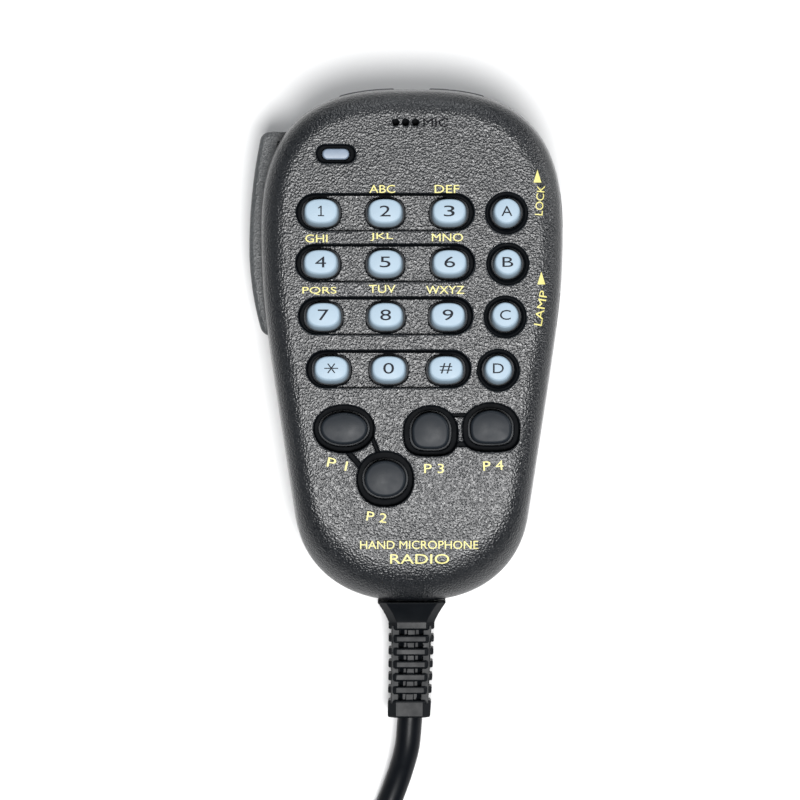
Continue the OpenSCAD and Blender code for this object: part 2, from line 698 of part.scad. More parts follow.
module relief_slab(from, length, size) {
  translate([0, 0, from]) linear_extrude(length) round_rect(size, 1.2);
}

module strain_relief() place() color([0.1, 0.105, 0.11]) translate([0, -half_len, relief_z])
  rotate([90, 0, 0]) difference() {
    section = [relief_w, relief_h];
    ribs_end = relief_len - tip_len;
    union() {
      // Flange held between the shells, and the neck through the wall
      relief_slab(-4.3, 1.3, [12.5, 10.4]);
      relief_slab(-3.1, 3.1 + block_len, section);
      intersection() {
        rotate([90, 0, 0]) translate([0, 0, -20]) linear_extrude(40) collar_side(relief_w / 2);
        rotate([90, 0, 90]) translate([0, 0, -20]) linear_extrude(40) collar_side(relief_h / 2);
      }
      for (i = [1:rib_count]) relief_slab(block_len + i * rib_pitch - rib_len, rib_len, section);
      relief_slab(ribs_end, tip_len, section);
      relief_slab(block_len - 0.1, ribs_end - block_len + 0.2, [6.6, 6.4]);
      for (x = [-3.3, 0, 3.3]) box([x - 0.8, -3.9, block_len - 0.1], [x + 0.8, 3.9, ribs_end + 0.1]);
      box([-4.2, -0.8, block_len - 0.1], [4.2, 0.8, ribs_end + 0.1]);
    }
    translate([0, 0, -10]) cylinder(r = cord_r, h = through);
  }

// Cord on the floor

module cord_lead() color([0.1, 0.1, 0.11])
  tube(concat([exit_at, exit_at + 3 * exit_dir], lead_points), cord_r, 12);

module cord_curl() color([0.1, 0.1, 0.11]) translate([0, fold_y, curl_z]) {
  for (k = [0, 1]) translate([(2 * k - 1) * fold_r, 0, 0]) rotate([-90, 0, 0])
    cylinder(d = curl_d, h = run_start[k] - fold_y);
  rotate(180) rotate_extrude(angle = 180) translate([fold_r, 0]) circle(d = curl_d);
}

module cord_tail() color([0.1, 0.1, 0.11]) tube(concat(tail_points, [plug_at]), cord_r, 12);

module tie_outline(grow) {
  hull() for (s = [-1, 1]) translate([s * fold_r, curl_z]) circle(curl_d / 2 + grow);
}

module cord_tie() color([0.15, 0.15, 0.16]) translate([0, tie_y, 0]) rotate([90, 0, 0])
  linear_extrude(tie_w) difference() {
    tie_outline(tie_t);
    tie_outline(0.02);
  }

// Modular plug, with its cord entry at the origin and its nose along x
module at_plug() {
  translate(plug_at) rotate(plug_turn) children();
}

// Row of six upright slabs at the plug's nose: back, width and height, then the front and the foot
module contact_row(size, front, foot) {
  for (i = [0:5]) translate([plug_len, (i - 2.5) * contact_pitch, -plug_h / 2])
    box([-size.x, -size.y / 2, foot], [front, size.y / 2, size.z]);
}

module plug_body() color([0.82, 0.84, 0.85]) at_plug() {
  difference() {
    box([0, -plug_w / 2, -plug_h / 2], [plug_len, plug_w / 2, plug_h / 2]);
    contact_row([6, 0.6, 3.4], 1, -1);
  }
  translate([0, 3, 0]) rotate([90, 0, 0]) linear_extrude(6) polygon([[plug_len, 2.2], [plug_len, 3.4],
    [plug_len - 1.2, 4.2], [0.4, 6.2], [0.4, 5.2], [plug_len - 2.5, 3.3], [plug_len - 2.5, 2.2]]);
}

module plug_contacts() color("gold") at_plug() contact_row([5.9, 0.32, 3], -0.1, 0.1);

front_case();
rear_case();
case_screws();
hanger_button();
hanger_screw();
hanger_washer();
main_board();
board_screws();
keypad_mat();
controller_chip();
board_parts();
backlight_leds();
mic_capsule();
mic_boot();
cord_jacket();
cord_anchor();
cord_wires();
harness_plug();
harness_socket();
talk_bar();
talk_pin();
talk_spring();
talk_switch();
talk_plunger();
up_button();
down_button();
step_board();
step_switches();
lock_slider();
lamp_slider();
slide_switches();
indicator_lens();
indicator_led();
strain_relief();
cord_lead();
cord_curl();
cord_tail();
cord_tie();
plug_body();
plug_contacts();
for (r = [0:3], c = [0:2]) number_key(r, c);
for (r = [0:3]) letter_key(r);
for (i = [0:3]) memory_key_cap(i);
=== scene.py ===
"""Hand microphone with a keypad, a talk bar and a curly cord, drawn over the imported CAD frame.

Lengths are in millimetres in the case's own frame, which is part.scad's: x to the right, y towards the
top end, z out of the front, z = 0 on the flat back. stand() lays a point down on the floor, in metres.
"""
import json
import math

import bmesh
import bpy
import numpy as np
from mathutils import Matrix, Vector


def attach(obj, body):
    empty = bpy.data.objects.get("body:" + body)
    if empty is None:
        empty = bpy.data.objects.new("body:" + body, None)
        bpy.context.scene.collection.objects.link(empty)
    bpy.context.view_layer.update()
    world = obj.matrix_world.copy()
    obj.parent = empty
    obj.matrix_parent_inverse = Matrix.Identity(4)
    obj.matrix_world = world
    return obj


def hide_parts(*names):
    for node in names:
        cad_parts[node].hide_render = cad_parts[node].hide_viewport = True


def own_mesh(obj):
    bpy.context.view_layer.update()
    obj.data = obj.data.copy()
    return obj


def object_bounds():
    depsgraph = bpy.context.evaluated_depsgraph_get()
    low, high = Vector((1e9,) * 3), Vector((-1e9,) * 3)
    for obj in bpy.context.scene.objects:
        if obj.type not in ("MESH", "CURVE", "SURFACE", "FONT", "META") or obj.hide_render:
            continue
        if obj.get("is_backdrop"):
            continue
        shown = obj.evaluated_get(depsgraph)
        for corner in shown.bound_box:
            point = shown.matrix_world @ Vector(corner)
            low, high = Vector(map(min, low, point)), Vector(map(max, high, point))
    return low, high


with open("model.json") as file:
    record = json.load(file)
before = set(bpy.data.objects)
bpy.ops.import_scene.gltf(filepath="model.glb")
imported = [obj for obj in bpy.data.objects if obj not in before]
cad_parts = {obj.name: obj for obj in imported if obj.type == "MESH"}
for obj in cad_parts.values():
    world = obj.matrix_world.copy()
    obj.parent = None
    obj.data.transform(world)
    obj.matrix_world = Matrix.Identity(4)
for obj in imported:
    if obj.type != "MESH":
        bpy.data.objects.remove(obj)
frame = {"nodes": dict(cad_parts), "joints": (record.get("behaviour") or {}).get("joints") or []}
cad_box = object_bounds()

# ---------------------------------------------------------------- how the case lies

# It rests on the rim of the hanger button and on the round edge of its back, whose middle is at HEEL_Y.
press_axis = next(j["axis"] for j in frame["joints"] if j["name"] == "key_1_press")
TILT = math.atan2(press_axis[1], -press_axis[2])
REAR_ROLL = 7
HEEL_Y = -45.1
STAND = (1.1, 12.3, REAR_ROLL * (1 - math.cos(TILT)) - HEEL_Y * math.sin(TILT))


def stand(points):
    """Case frame in millimetres to the row frame in metres."""
    p = np.atleast_2d(np.asarray(points, float))
    c, s = math.cos(TILT), math.sin(TILT)
    return 0.001 * np.stack([p[:, 0] + STAND[0], p[:, 1] * c - p[:, 2] * s + STAND[1],
                             p[:, 1] * s + p[:, 2] * c + STAND[2]], 1)


def turned(normals):
    """Directions in the case frame to the row frame."""
    c, s = math.cos(TILT), math.sin(TILT)
    return np.stack([normals[:, 0], normals[:, 1] * c - normals[:, 2] * s,
                     normals[:, 1] * s + normals[:, 2] * c], 1)


# ---------------------------------------------------------------- camera, floor and lights

def aim(obj, place, target):
    obj.location = place
    obj.rotation_euler = (Vector(target) - Vector(place)).to_track_quat("-Z", "Y").to_euler()
    bpy.context.scene.collection.objects.link(obj)
    return obj


def from_angle(target, elevation, distance, azimuth=0):
    """Point at a distance from the target, seen from that elevation; azimuth 0 looks along +y."""
    e, a = math.radians(elevation), math.radians(azimuth)
    flat = distance * math.cos(e)
    return (target[0] + flat * math.sin(a), target[1] - flat * math.cos(a),
            target[2] + distance * math.sin(e))


LOOK_AT = (-0.0013, -0.0006, 0.030)
lens = bpy.data.cameras.new("camera")
lens.lens = 222.3
lens.clip_start, lens.clip_end = 0.01, 20
camera = aim(bpy.data.objects.new("camera", lens), from_angle(LOOK_AT, 87.35, 1.0), LOOK_AT)
bpy.context.scene.camera = camera


def soft_light(name, place, target, size, power, tint=(1, 1, 1)):
    data = bpy.data.lights.new(name, "AREA")
    data.shape, data.size, data.energy, data.color = "DISK", size, power, tint
    return aim(bpy.data.objects.new(name, data), place, target)


soft_light("overhead", (0.05, -0.34, 1.15), (0, -0.02, 0), 0.46, 26)
soft_light("right", (0.9, 0.25, 0.42), (0, 0, 0), 0.3, 4.5)
soft_light("left", (-0.95, 0.1, 0.6), (0, 0, 0), 0.4, 0.8, (0.93, 0.97, 1))
soft_light("back", (0.0, 1.0, 0.7), (0, 0, 0), 0.6, 6.0, (0.96, 0.98, 1))

sky = bpy.data.worlds.new("studio")
sky.use_nodes = True
sky.node_tree.nodes["Background"].inputs[0].default_value = (0.86, 0.9, 0.95, 1)
sky.node_tree.nodes["Background"].inputs[1].default_value = 0.13
bpy.context.scene.world = sky
bpy.context.scene.view_settings.view_transform = "Standard"

# ---------------------------------------------------------------- materials


class Shader:
    """A principled material whose colour, roughness and bump come from noise in the object's own space."""

    def __init__(self, name, color, rough, metal=0.0, **constants):
        self.data = bpy.data.materials.new(name)
        self.data.use_nodes = True
        self.nodes, self.links = self.data.node_tree.nodes, self.data.node_tree.links
        self.main = self.nodes["Principled BSDF"]
        self.main.inputs["Base Color"].default_value = (*color, 1)
        self.main.inputs["Roughness"].default_value = rough
        self.main.inputs["Metallic"].default_value = metal
        for socket, value in constants.items():
            self.main.inputs[socket.replace("_", " ")].default_value = value
        self.color, self.rough = color, rough
        self.place = self.nodes.new("ShaderNodeTexCoord").outputs["Object"]
        self.height = None

    def node(self, kind, **values):
        n = self.nodes.new("ShaderNode" + kind)
        for socket, value in values.items():
            if hasattr(n, socket):
                setattr(n, socket, value)
            elif hasattr(value, "node"):
                self.links.new(value, n.inputs[socket.replace("_", " ")])
            else:
                n.inputs[socket.replace("_", " ")].default_value = value
        return n

    def noise(self, size, detail=3, stretch=(1, 1, 1)):
        """Noise with features of a size in millimetres."""
        at = self.place
        if stretch != (1, 1, 1):
            at = self.node("Mapping", Vector=self.place, Scale=stretch).outputs[0]
        return self.node("TexNoise", Vector=at, Scale=1000 / size, Detail=detail).outputs["Fac"]

    def cells(self, size):
        """Rounded cells of a size in millimetres."""
        return self.node("TexVoronoi", feature="SMOOTH_F1", Vector=self.place, Scale=1000 / size,
                         Smoothness=0.6).outputs["Distance"]

    def ranged(self, value, low, high, at=(0.3, 0.7)):
        return self.node("MapRange", Value=value, From_Min=at[0], From_Max=at[1], To_Min=low,
                         To_Max=high).outputs[0]

    def mottle(self, size, spread, rough_spread=0.06, source=None):
        """Colour and roughness that vary a little over the surface."""
        value = source or self.noise(size)
        ramp = self.node("ValToRGB", Fac=value)
        low, high = ramp.color_ramp.elements
        low.position, high.position = 0.3, 0.7
        low.color = (*[c * (1 - spread) for c in self.color], 1)
        high.color = (*[min(1, c * (1 + spread)) for c in self.color], 1)
        self.links.new(ramp.outputs[0], self.main.inputs["Base Color"])
        self.links.new(self.ranged(value, self.rough - rough_spread, self.rough + rough_spread),
                       self.main.inputs["Roughness"])
        return self

    def bump(self, value, depth, strength=1.0):
        """Bump of a depth in millimetres on top of what is there."""
        n = self.node("Bump", Height=value, Distance=depth * 0.001, Strength=strength)
        if self.height is not None:
            self.links.new(self.height, n.inputs["Normal"])
        self.height = n.outputs[0]
        self.links.new(self.height, self.main.inputs["Normal"])
        return self


def pebbled(name, color, rough, pebble, depth, **constants):
    s = Shader(name, color, rough, **constants)
    stones = s.cells(pebble)
    s.mottle(pebble * 1.6, 0.2, 0.07)
    s.bump(stones, depth)
    return s.bump(s.noise(pebble * 0.45, 2), depth * 0.35).data


def moulded(name, color, rough, size=2.5, spread=0.07, skin=0.35, depth=0.012, metal=0.0, **constants):
    s = Shader(name, color, rough, metal, **constants).mottle(size, spread, 0.05)
    return s.bump(s.noise(skin, 3), depth).data


def brushed(name, color, rough, direction=(1, 14, 14), **constants):
    s = Shader(name, color, rough, 1.0, **constants)
    lines = s.noise(1.6, 4, direction)
    s.mottle(1.6, 0.12, 0.1, lines)
    return s.bump(lines, 0.006).data


def woven(name, color, rough, pitch, depth):
    s = Shader(name, color, rough, Sheen_Weight=0.4, Sheen_Roughness=0.5)
    across = s.node("TexWave", Vector=s.place, Scale=180 / pitch, bands_direction="X", Distortion=0.6)
    along = s.node("TexWave", Vector=s.place, Scale=180 / pitch, bands_direction="Z", Distortion=0.6)
    both = s.node("Math", operation="MULTIPLY")
    s.links.new(across.outputs["Fac"], both.inputs[0])
    s.links.new(along.outputs["Fac"], both.inputs[1])
    s.mottle(pitch, 0.25, 0.05, both.outputs[0])
    return s.bump(both.outputs[0], depth).data


def circuit(name):
    """Green solder mask over copper tracks."""
    s = Shader(name, (0.012, 0.10, 0.05), 0.34)
    tracks = s.node("TexBrick", Vector=s.place, Scale=420, Mortar_Size=0.035, Color1=(0.012, 0.10, 0.05, 1),
                    Color2=(0.014, 0.115, 0.055, 1), Mortar=(0.05, 0.22, 0.10, 1))
    s.links.new(tracks.outputs["Color"], s.main.inputs["Base Color"])
    s.bump(tracks.outputs["Fac"], -0.03)
    return s.bump(s.noise(0.5), 0.01).data


CASE = pebbled("case_plastic", (0.0035, 0.0045, 0.0060), 0.34, 0.40, 0.12, Specular_IOR_Level=0.5)
# Near-black matte plastic: painted shade on the front shell's recess walls, moat floors and the rings round
# the keys, and also the finish of the mic capsule, its boot and the MIC word.
BLACK_AND_SHADE = moulded("black_and_shade_plastic", (0.0015, 0.0020, 0.0028), 0.6, skin=0.3, depth=0.01,
                 Specular_IOR_Level=0.04)
REAR = pebbled("rear_plastic", (0.0040, 0.0048, 0.0060), 0.38, 0.40, 0.10, Specular_IOR_Level=0.46)
KEY = moulded("key_rubber", (0.212, 0.278, 0.335), 0.5, spread=0.035, skin=0.22, depth=0.010,
              Specular_IOR_Level=0.3)
MEMORY = moulded("memory_rubber", (0.0075, 0.0098, 0.0130), 0.45, skin=0.25, depth=0.010,
                 Specular_IOR_Level=0.13)
CONTROL = moulded("control_plastic", (0.022, 0.024, 0.028), 0.38, skin=0.3, depth=0.018)
TALK = pebbled("talk_plastic", (0.042, 0.045, 0.047), 0.46, 0.38, 0.12)
PAINT = moulded("yellow_paint", (0.46, 0.42, 0.13), 0.5, size=0.5, spread=0.12, skin=0.2, depth=0.006)
INK = moulded("dark_ink", (0.006, 0.008, 0.012), 0.6, size=0.6, spread=0.15, skin=0.2, depth=0.004,
              Specular_IOR_Level=0.1)
RELIEF = moulded("relief_rubber", (0.0025, 0.0032, 0.0042), 0.42, skin=0.4, depth=0.014,
                 Specular_IOR_Level=0.10)
CORD = moulded("cord_sleeve", (0.0025, 0.0032, 0.0045), 0.40, size=3, spread=0.12, skin=0.3, depth=0.010,
               Specular_IOR_Level=0.10)
HANGER = brushed("hanger_metal", (0.42, 0.43, 0.44), 0.34)
STEEL = brushed("steel", (0.56, 0.57, 0.58), 0.26)
SPRING = brushed("spring_steel", (0.48, 0.49, 0.50), 0.3, (14, 1, 1))
BLACK_STEEL = brushed("black_steel", (0.07, 0.07, 0.075), 0.36)
BOARD = circuit("circuit_board")
CHIP = moulded("chip_black", (0.018, 0.018, 0.020), 0.5, size=0.8, skin=0.15, depth=0.01)
CAN = brushed("part_metal", (0.60, 0.60, 0.58), 0.3)
MAT = moulded("mat_rubber", (0.10, 0.105, 0.11), 0.6, skin=0.3, depth=0.02)
LED = moulded("led_resin", (0.72, 0.66, 0.30), 0.2, size=0.6, spread=0.1)
LENS = moulded("lens_resin", (0.13, 0.165, 0.215), 0.4, size=1.2, spread=0.06, depth=0.004,
               Specular_IOR_Level=0.3)
NYLON = moulded("nylon", (0.74, 0.72, 0.66), 0.42, size=1.5, spread=0.05)
WIRES = moulded("wire_sleeve", (0.42, 0.03, 0.03), 0.38, size=0.8, spread=0.12)
CLEAR = moulded("plug_clear", (0.78, 0.81, 0.83), 0.14, size=2, spread=0.03, depth=0.004,
                Transmission_Weight=0.55, IOR=1.49)
GOLD = brushed("gold", (0.80, 0.56, 0.20), 0.22)
TIE = woven("tie_cloth", (0.030, 0.032, 0.036), 0.75, 0.5, 0.12)
FLOOR = Shader("floor", (0.64, 0.64, 0.64), 0.7, Specular_IOR_Level=0.2).mottle(60, 0.012, 0.03)
FLOOR = FLOOR.bump(FLOOR.noise(6), 0.02).data

NODE_FINISH = {
    "case_screws": BLACK_STEEL, "hanger_button": HANGER, "hanger_screw": STEEL, "hanger_washer": SPRING,
    "main_board": BOARD, "step_board": BOARD, "board_screws": STEEL, "keypad_mat": MAT,
    "controller_chip": CHIP, "board_parts": CAN, "backlight_leds": LED, "mic_capsule": BLACK_AND_SHADE,
    "mic_boot": BLACK_AND_SHADE, "cord_jacket": CORD, "cord_anchor": STEEL, "cord_wires": WIRES,
    "harness_plug": NYLON, "harness_socket": NYLON, "talk_pin": STEEL, "talk_switch": CHIP,
    "talk_plunger": NYLON, "step_switches": CHIP, "slide_switches": CAN, "indicator_led": LED,
    "cord_tie": TIE, "plug_contacts": GOLD,
}
for name, finish in NODE_FINISH.items():
    slots = frame["nodes"][name].data.materials
    for i in range(len(slots)):
        slots[i] = finish

reach = 3.0
floor_mesh = bpy.data.meshes.new("floor")
floor_mesh.from_pydata([(-reach, -reach, 0), (reach, -reach, 0), (reach, reach, 0), (-reach, reach, 0)], [],
                       [(0, 1, 2, 3)])
floor_mesh.materials.append(FLOOR)
floor = bpy.data.objects.new("floor", floor_mesh)
bpy.context.scene.collection.objects.link(floor)
floor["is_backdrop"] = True

# ---------------------------------------------------------------- making pieces


def add_piece(name, points, faces, finishes, body, replaces=(), normals=None, sharp=None,
              face_finish=None):
    """A mesh in the row frame, from points in metres, that rides on a body and stands for CAD nodes."""
    mesh = bpy.data.meshes.new(name)
    mesh.from_pydata(np.asarray(points).tolist(), [], [list(f) for f in faces])
    for m in finishes:
        mesh.materials.append(m)
    if face_finish is not None:
        mesh.polygons.foreach_set("material_index", np.asarray(face_finish, np.int32))
    mesh.shade_smooth()
    if sharp is not None:
        mesh.set_sharp_from_angle(angle=math.radians(sharp))
    mesh.update()
    if normals is not None:
        mesh.normals_split_custom_set_from_vertices(normals.tolist())
    obj = bpy.data.objects.new(name, mesh)
    bpy.context.scene.collection.objects.link(obj)
    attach(obj, body)
    if replaces:
        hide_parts(*replaces)
    return obj


def slope(field, p):
    """Gradient of a field at each point."""
    h = 0.02
    return np.stack([field(p + h * e) - field(p - h * e) for e in np.eye(3)], 1) / (2 * h)


def contour(field, low, high, cell):
    """Points and four-sided faces of the surface where a distance field is zero.

    The field is first taken on a coarse grid, then again on the fine grid near the surface.
    """
    low = np.asarray(low, float)
    n = np.ceil((np.asarray(high) - low) / cell).astype(int) + 1
    step = 4
    m = (n + step - 1) // step + 1
    blocks = np.stack(np.meshgrid(*[np.arange(k) for k in m], indexing="ij"), -1).reshape(-1, 3)
    rough = field(low + blocks * cell * step).reshape(m)
    nearest = [np.rint(np.arange(k) / step).astype(int) for k in n]
    values = rough[np.ix_(*nearest)]
    band = (0.9 * step + 2) * cell
    near = np.argwhere(np.abs(values) < band)
    values[tuple(near.T)] = field(low + near * cell)
    cells = n - 1
    places, owners, quads = [], [], []
    for axis in range(3):
        a = np.take(values, np.arange(n[axis] - 1), axis)
        b = np.take(values, np.arange(1, n[axis]), axis)
        edge = np.argwhere((a < 0) != (b < 0))
        u, v = (axis + 1) % 3, (axis + 2) % 3
        inside = (edge[:, u] > 0) & (edge[:, v] > 0) & (edge[:, u] < cells[u]) & (edge[:, v] < cells[v])
        edge = edge[inside]
        va, vb = a[tuple(edge.T)], b[tuple(edge.T)]
        at = edge.astype(float)
        at[:, axis] += va / (va - vb)
        ids = []
        for du, dv in ((-1, -1), (0, -1), (0, 0), (-1, 0)):
            c = edge.copy()
            c[:, u] += du
            c[:, v] += dv
            ids.append((c[:, 0] * cells[1] + c[:, 1]) * cells[2] + c[:, 2])
        quad = np.stack(ids, 1)
        quad[va >= 0] = quad[va >= 0][:, ::-1]
        quads.append(quad)
        owners.append(np.concatenate(ids))
        places.append(np.tile(at, (4, 1)))
    quads = np.concatenate(quads)
    names, who = np.unique(np.concatenate(owners), return_inverse=True)
    places = np.concatenate(places)
    count = np.bincount(who)
    points = np.stack([np.bincount(who, places[:, k]) / count for k in range(3)], 1)
    return low + points * cell, np.searchsorted(names, quads)


def unit(vectors):
    return vectors / np.maximum(np.linalg.norm(vectors, axis=1), 1e-6)[:, None]


def settle(field, p, reach, rounds=2):
    """Moves points onto the surface, by no more than a reach each round."""
    for _ in range(rounds):
        g = slope(field, p)
        d = np.clip(field(p), -reach, reach)
        p = p - (d / np.maximum((g * g).sum(1), 0.3))[:, None] * g
    return p


def carve(name, field, low, high, cell, finishes, body, replaces, keep=1.0, pick=None):
    """A piece whose surface is where the field is zero, thinned to a share of its faces."""
    points, faces = contour(field, low, high, cell)
    points = settle(field, points, cell / 2)
    if keep < 1:
        mesh = bpy.data.meshes.new("thick")
        mesh.from_pydata(points.tolist(), [], faces.tolist())
        obj = bpy.data.objects.new("thick", mesh)
        bpy.context.scene.collection.objects.link(obj)
        thin = obj.modifiers.new("thin", "DECIMATE")
        thin.ratio = keep
        result = obj.evaluated_get(bpy.context.evaluated_depsgraph_get()).to_mesh()
        points = np.array([v.co for v in result.vertices])
        faces = [tuple(f.vertices) for f in result.polygons]
        bpy.data.objects.remove(obj)
        points = settle(field, points, cell / 4, 1)
    normals = unit(slope(field, points))
    chosen = None
    if pick is not None:
        corners = [list(f) for f in faces]
        middles = np.array([points[c].mean(0) for c in corners])
        facing = np.array([normals[c].mean(0) for c in corners])
        chosen = pick(middles, facing)
    return add_piece(name, stand(points), faces, finishes, body, replaces, turned(normals),
                     face_finish=chosen)


# ---------------------------------------------------------------- distance fields


def meet(a, b, r=0.0):
    """What is in both, with its edge rounded."""
    if not r:
        return np.maximum(a, b)
    return np.minimum(-r, np.maximum(a, b)) + np.hypot(np.maximum(r + a, 0), np.maximum(r + b, 0))


def join(a, b, r=0.0):
    """What is in either."""
    return -meet(-a, -b, r)


def cut(a, b, r=0.0):
    """What is in the first and not in the second."""
    return meet(a, -b, r)


def slab(v, low, high):
    return np.maximum(low - v, v - high)


def block(p, low, high, r=0.0):
    """Box with rounded edges."""
    low, high = np.asarray(low, float), np.asarray(high, float)
    q = np.abs(p - (low + high) / 2) - (high - low) / 2 + r
    return np.linalg.norm(np.maximum(q, 0), axis=-1) + np.minimum(q.max(-1), 0) - r


def rod(p, at, radius, low, high, r=0.0):
    """Upright cylinder."""
    return meet(np.hypot(p[:, 0] - at[0], p[:, 1] - at[1]) - radius, slab(p[:, 2], low, high), r)


def slot_2d(x, y, size):
    """Stadium shape."""
    r = size[1] / 2
    return np.hypot(np.maximum(np.abs(x) - (size[0] / 2 - r), 0), y) - r


def oval_2d(x, y, size, power=2.5, foot=None):
    """Superellipse; foot is the power of its lower half."""
    n = power if foot is None else np.where(y < 0, foot, power)
    u, v = np.abs(x) * 2 / size[0] + 1e-9, np.abs(y) * 2 / size[1] + 1e-9
    k = (u ** n + v ** n) ** (1 / n)
    gu, gv = (u / k) ** (n - 1) * 2 / size[0], (v / k) ** (n - 1) * 2 / size[1]
    return (k - 1) / np.hypot(gu, gv)


def smoothstep(t):
    t = np.clip(t, 0, 1)
    return t * t * (3 - 2 * t)


def soft_max(a, b, width):
    """The larger of two, with a gradual change between them."""
    h = np.maximum(width - np.abs(a - b), 0) / width
    return np.maximum(a, b) + h * h * width / 4


# ---------------------------------------------------------------- shape of the case, as in part.scad

HALF_LEN = 52.5
HALF_WID = 31.2
TOP_ROUND, CORD_ROUND = 33, 18
PARTING = 12.5
ROW_Y = (27.1, 16.8, 6.1, -4.7)
ROW_X = (-5.4, -5.4, -5.3, -4.7)
ROW_PITCH = (12.95, 13.05, 12.6, 11.6)
LETTER_X = (19.2, 19.4, 18.9, 17.5)
KEY_SIZE = (7.3, 5.7)
KEY_TOP = 28.0
GAP = 0.35
MEMORY_AT = ((-13.75, -16.6), (-5.4, -26.8), (3.8, -17.05), (16.05, -16.3))
MEMORY_KEY = ((9.7, 6.7), (8.6, 7.6), (7.8, 7.6), (8.6, 7.0))
MEMORY_MOAT = ((12.3, 9.7), (11.5, 11.2), (11.0, 10.2), (11.6, 9.9))
MEMORY_FOOT = (2.1, 2.15, 3.1, 3.2)
MEMORY_POWER = 2.05
MEMORY_TOP = 27.4
MOAT_FLOOR = 24.2
LINKS = (((-11.55, -22.9), -49, 4.6, 1.0), ((-7.55, -19.65), -68, 4.4, 0.7),
         ((10.05, -19.7), 0, 4.2, 1.0), ((10.0, -13.8), 0, 4.2, 0.7))
LENS_AT = (-15.4, 39.05)
CASE_POSTS = ((-22.5, 36), (22.5, 36), (-15.5, -36), (15.5, -36))
BOARD_POSTS = ((4.5, 37), (10.6, -30), (-22.8, -10.6))
SLIDE_Y = (26.5, 6.0)
SLIDE_Z = 15.5
RELIEF_Z = 11.0
HANGER_AT = (0, 20)
PIVOT = (-24.2, -1.5)
TALK_Z = (3.5, 12.2)
SPRING_Y, SPRING_Z = 10, 7.8


def end_round(t, a, b):
    """Share of the full width at a distance t from an end."""
    return (1 - (1 - np.clip(t, 0, 1)) ** a) ** (1 / b)


def half_width(y):
    """Half of the case's width: a straight taper past its widest place, and a rounding at each end."""
    d = HALF_LEN - y
    taper = HALF_WID - 0.155 * ((d - 41) + np.hypot(d - 41, 8)) / 2
    return taper * end_round(d / TOP_ROUND, 2.9, 2.75) * end_round((HALF_LEN + y) / CORD_ROUND, 2.4, 2.4)


def top_edge(x):
    """The end rounding of half_width() the other way round, for the top end."""
    return HALF_LEN - TOP_ROUND * (1 - (1 - (np.abs(x) / HALF_WID) ** 2.75) ** (1 / 2.9))


def face_z(x, y):
    """Height of the slightly domed face, which drops towards the cord."""
    return 27 - 0.5 * (x / HALF_WID) ** 2 - 0.6 * ((y - 5) / 40) ** 2 - 0.005 * np.maximum(0, -25 - y) ** 2


GRID_LOW = (-2, -56)
GRID_CELL = 0.5


def make_inset_map():
    """Distance in from the case's outline over a grid of its right half."""
    turn = np.radians(np.linspace(0, 180, 900))
    y = -HALF_LEN * np.cos(turn)
    rim = np.stack([half_width(y), y], 1)
    a, run = rim[:-1], np.diff(rim, axis=0)
    gx, gy = np.arange(GRID_LOW[0], 36.01, GRID_CELL), np.arange(GRID_LOW[1], 56.01, GRID_CELL)
    grid = np.stack(np.meshgrid(gx, gy, indexing="ij"), -1)
    far = np.empty(grid.shape[:2])
    for i, column in enumerate(grid):
        rel = column[:, None] - a[None]
        t = np.clip((rel * run).sum(-1) / (run * run).sum(-1), 0, 1)
        far[i] = np.sqrt((((rel - t[..., None] * run) ** 2).sum(-1)).min(1))
    out = (np.abs(grid[..., 1]) >= HALF_LEN) | (np.abs(grid[..., 0]) > half_width(grid[..., 1]))
    return np.where(out, -far, far)


INSET = make_inset_map()


def inset(x, y):
    """Distance in from the outline at each point, and the inward direction."""
    gx, gy = (np.abs(x) - GRID_LOW[0]) / GRID_CELL, (y - GRID_LOW[1]) / GRID_CELL
    gx, gy = np.clip(gx, 1, INSET.shape[0] - 3), np.clip(gy, 1, INSET.shape[1] - 3)
    i, j = gx.astype(int), gy.astype(int)
    t, u = gx - i, gy - j

    def weights(t):
        return ((-t + 2 * t ** 2 - t ** 3) / 2, (2 - 5 * t ** 2 + 3 * t ** 3) / 2,
                (t + 4 * t ** 2 - 3 * t ** 3) / 2, (t ** 3 - t ** 2) / 2)

    def slopes(t):
        return ((-1 + 4 * t - 3 * t ** 2) / 2, (-10 * t + 9 * t ** 2) / 2,
                (1 + 8 * t - 9 * t ** 2) / 2, (3 * t ** 2 - 2 * t) / 2)

    wt, wu, dt, du = weights(t), weights(u), slopes(t), slopes(u)
    s, sx, sy = np.zeros_like(t), np.zeros_like(t), np.zeros_like(t)
    for k in range(4):
        row, row_u = np.zeros_like(t), np.zeros_like(t)
        for m in range(4):
            v = INSET[i + k - 1, j + m - 1]
            row += wu[m] * v
            row_u += du[m] * v
        s += wt[k] * row
        sx += dt[k] * row
        sy += wt[k] * row_u
    size = np.maximum(np.hypot(sx, sy), 1e-6)
    return s, sx / size * np.sign(x), sy / size


def front_skin(p):
    """Outside of the front shell: a domed face and a roll round its edge."""
    x, y, z = p.T
    s, nx, ny = inset(x, y)
    roll = 5 + 4 * smoothstep((-30 - (y - ny * s)) / 20)
    push = soft_max(s, 0.5 + roll, 4) - s
    crown = face_z(x + nx * push, y + ny * push)
    u = roll - (s - 0.5 * np.clip((z - PARTING) / 9, 0, 1))
    v = z - (crown - roll)
    return np.hypot(np.maximum(u, 0), np.maximum(v, 0)) + np.minimum(np.maximum(u, v), 0) - roll


def rear_skin(p):
    """Outside of the rear shell: a flat back and a round edge."""
    x, y, z = p.T
    s = inset(x, y)[0]
    u = REAR_ROLL - (s - 0.4 * np.clip((PARTING - z) / 5.5, 0, 1))
    v = REAR_ROLL - z
    return np.hypot(np.maximum(u, 0), np.maximum(v, 0)) + np.minimum(np.maximum(u, v), 0) - REAR_ROLL


def relief_hole(p):
    """Opening in the cord end that the strain relief's neck fills."""
    return block(p, (-5.0, -60, RELIEF_Z - 4.7), (5.0, -49.5, RELIEF_Z + 4.7), 1.2)


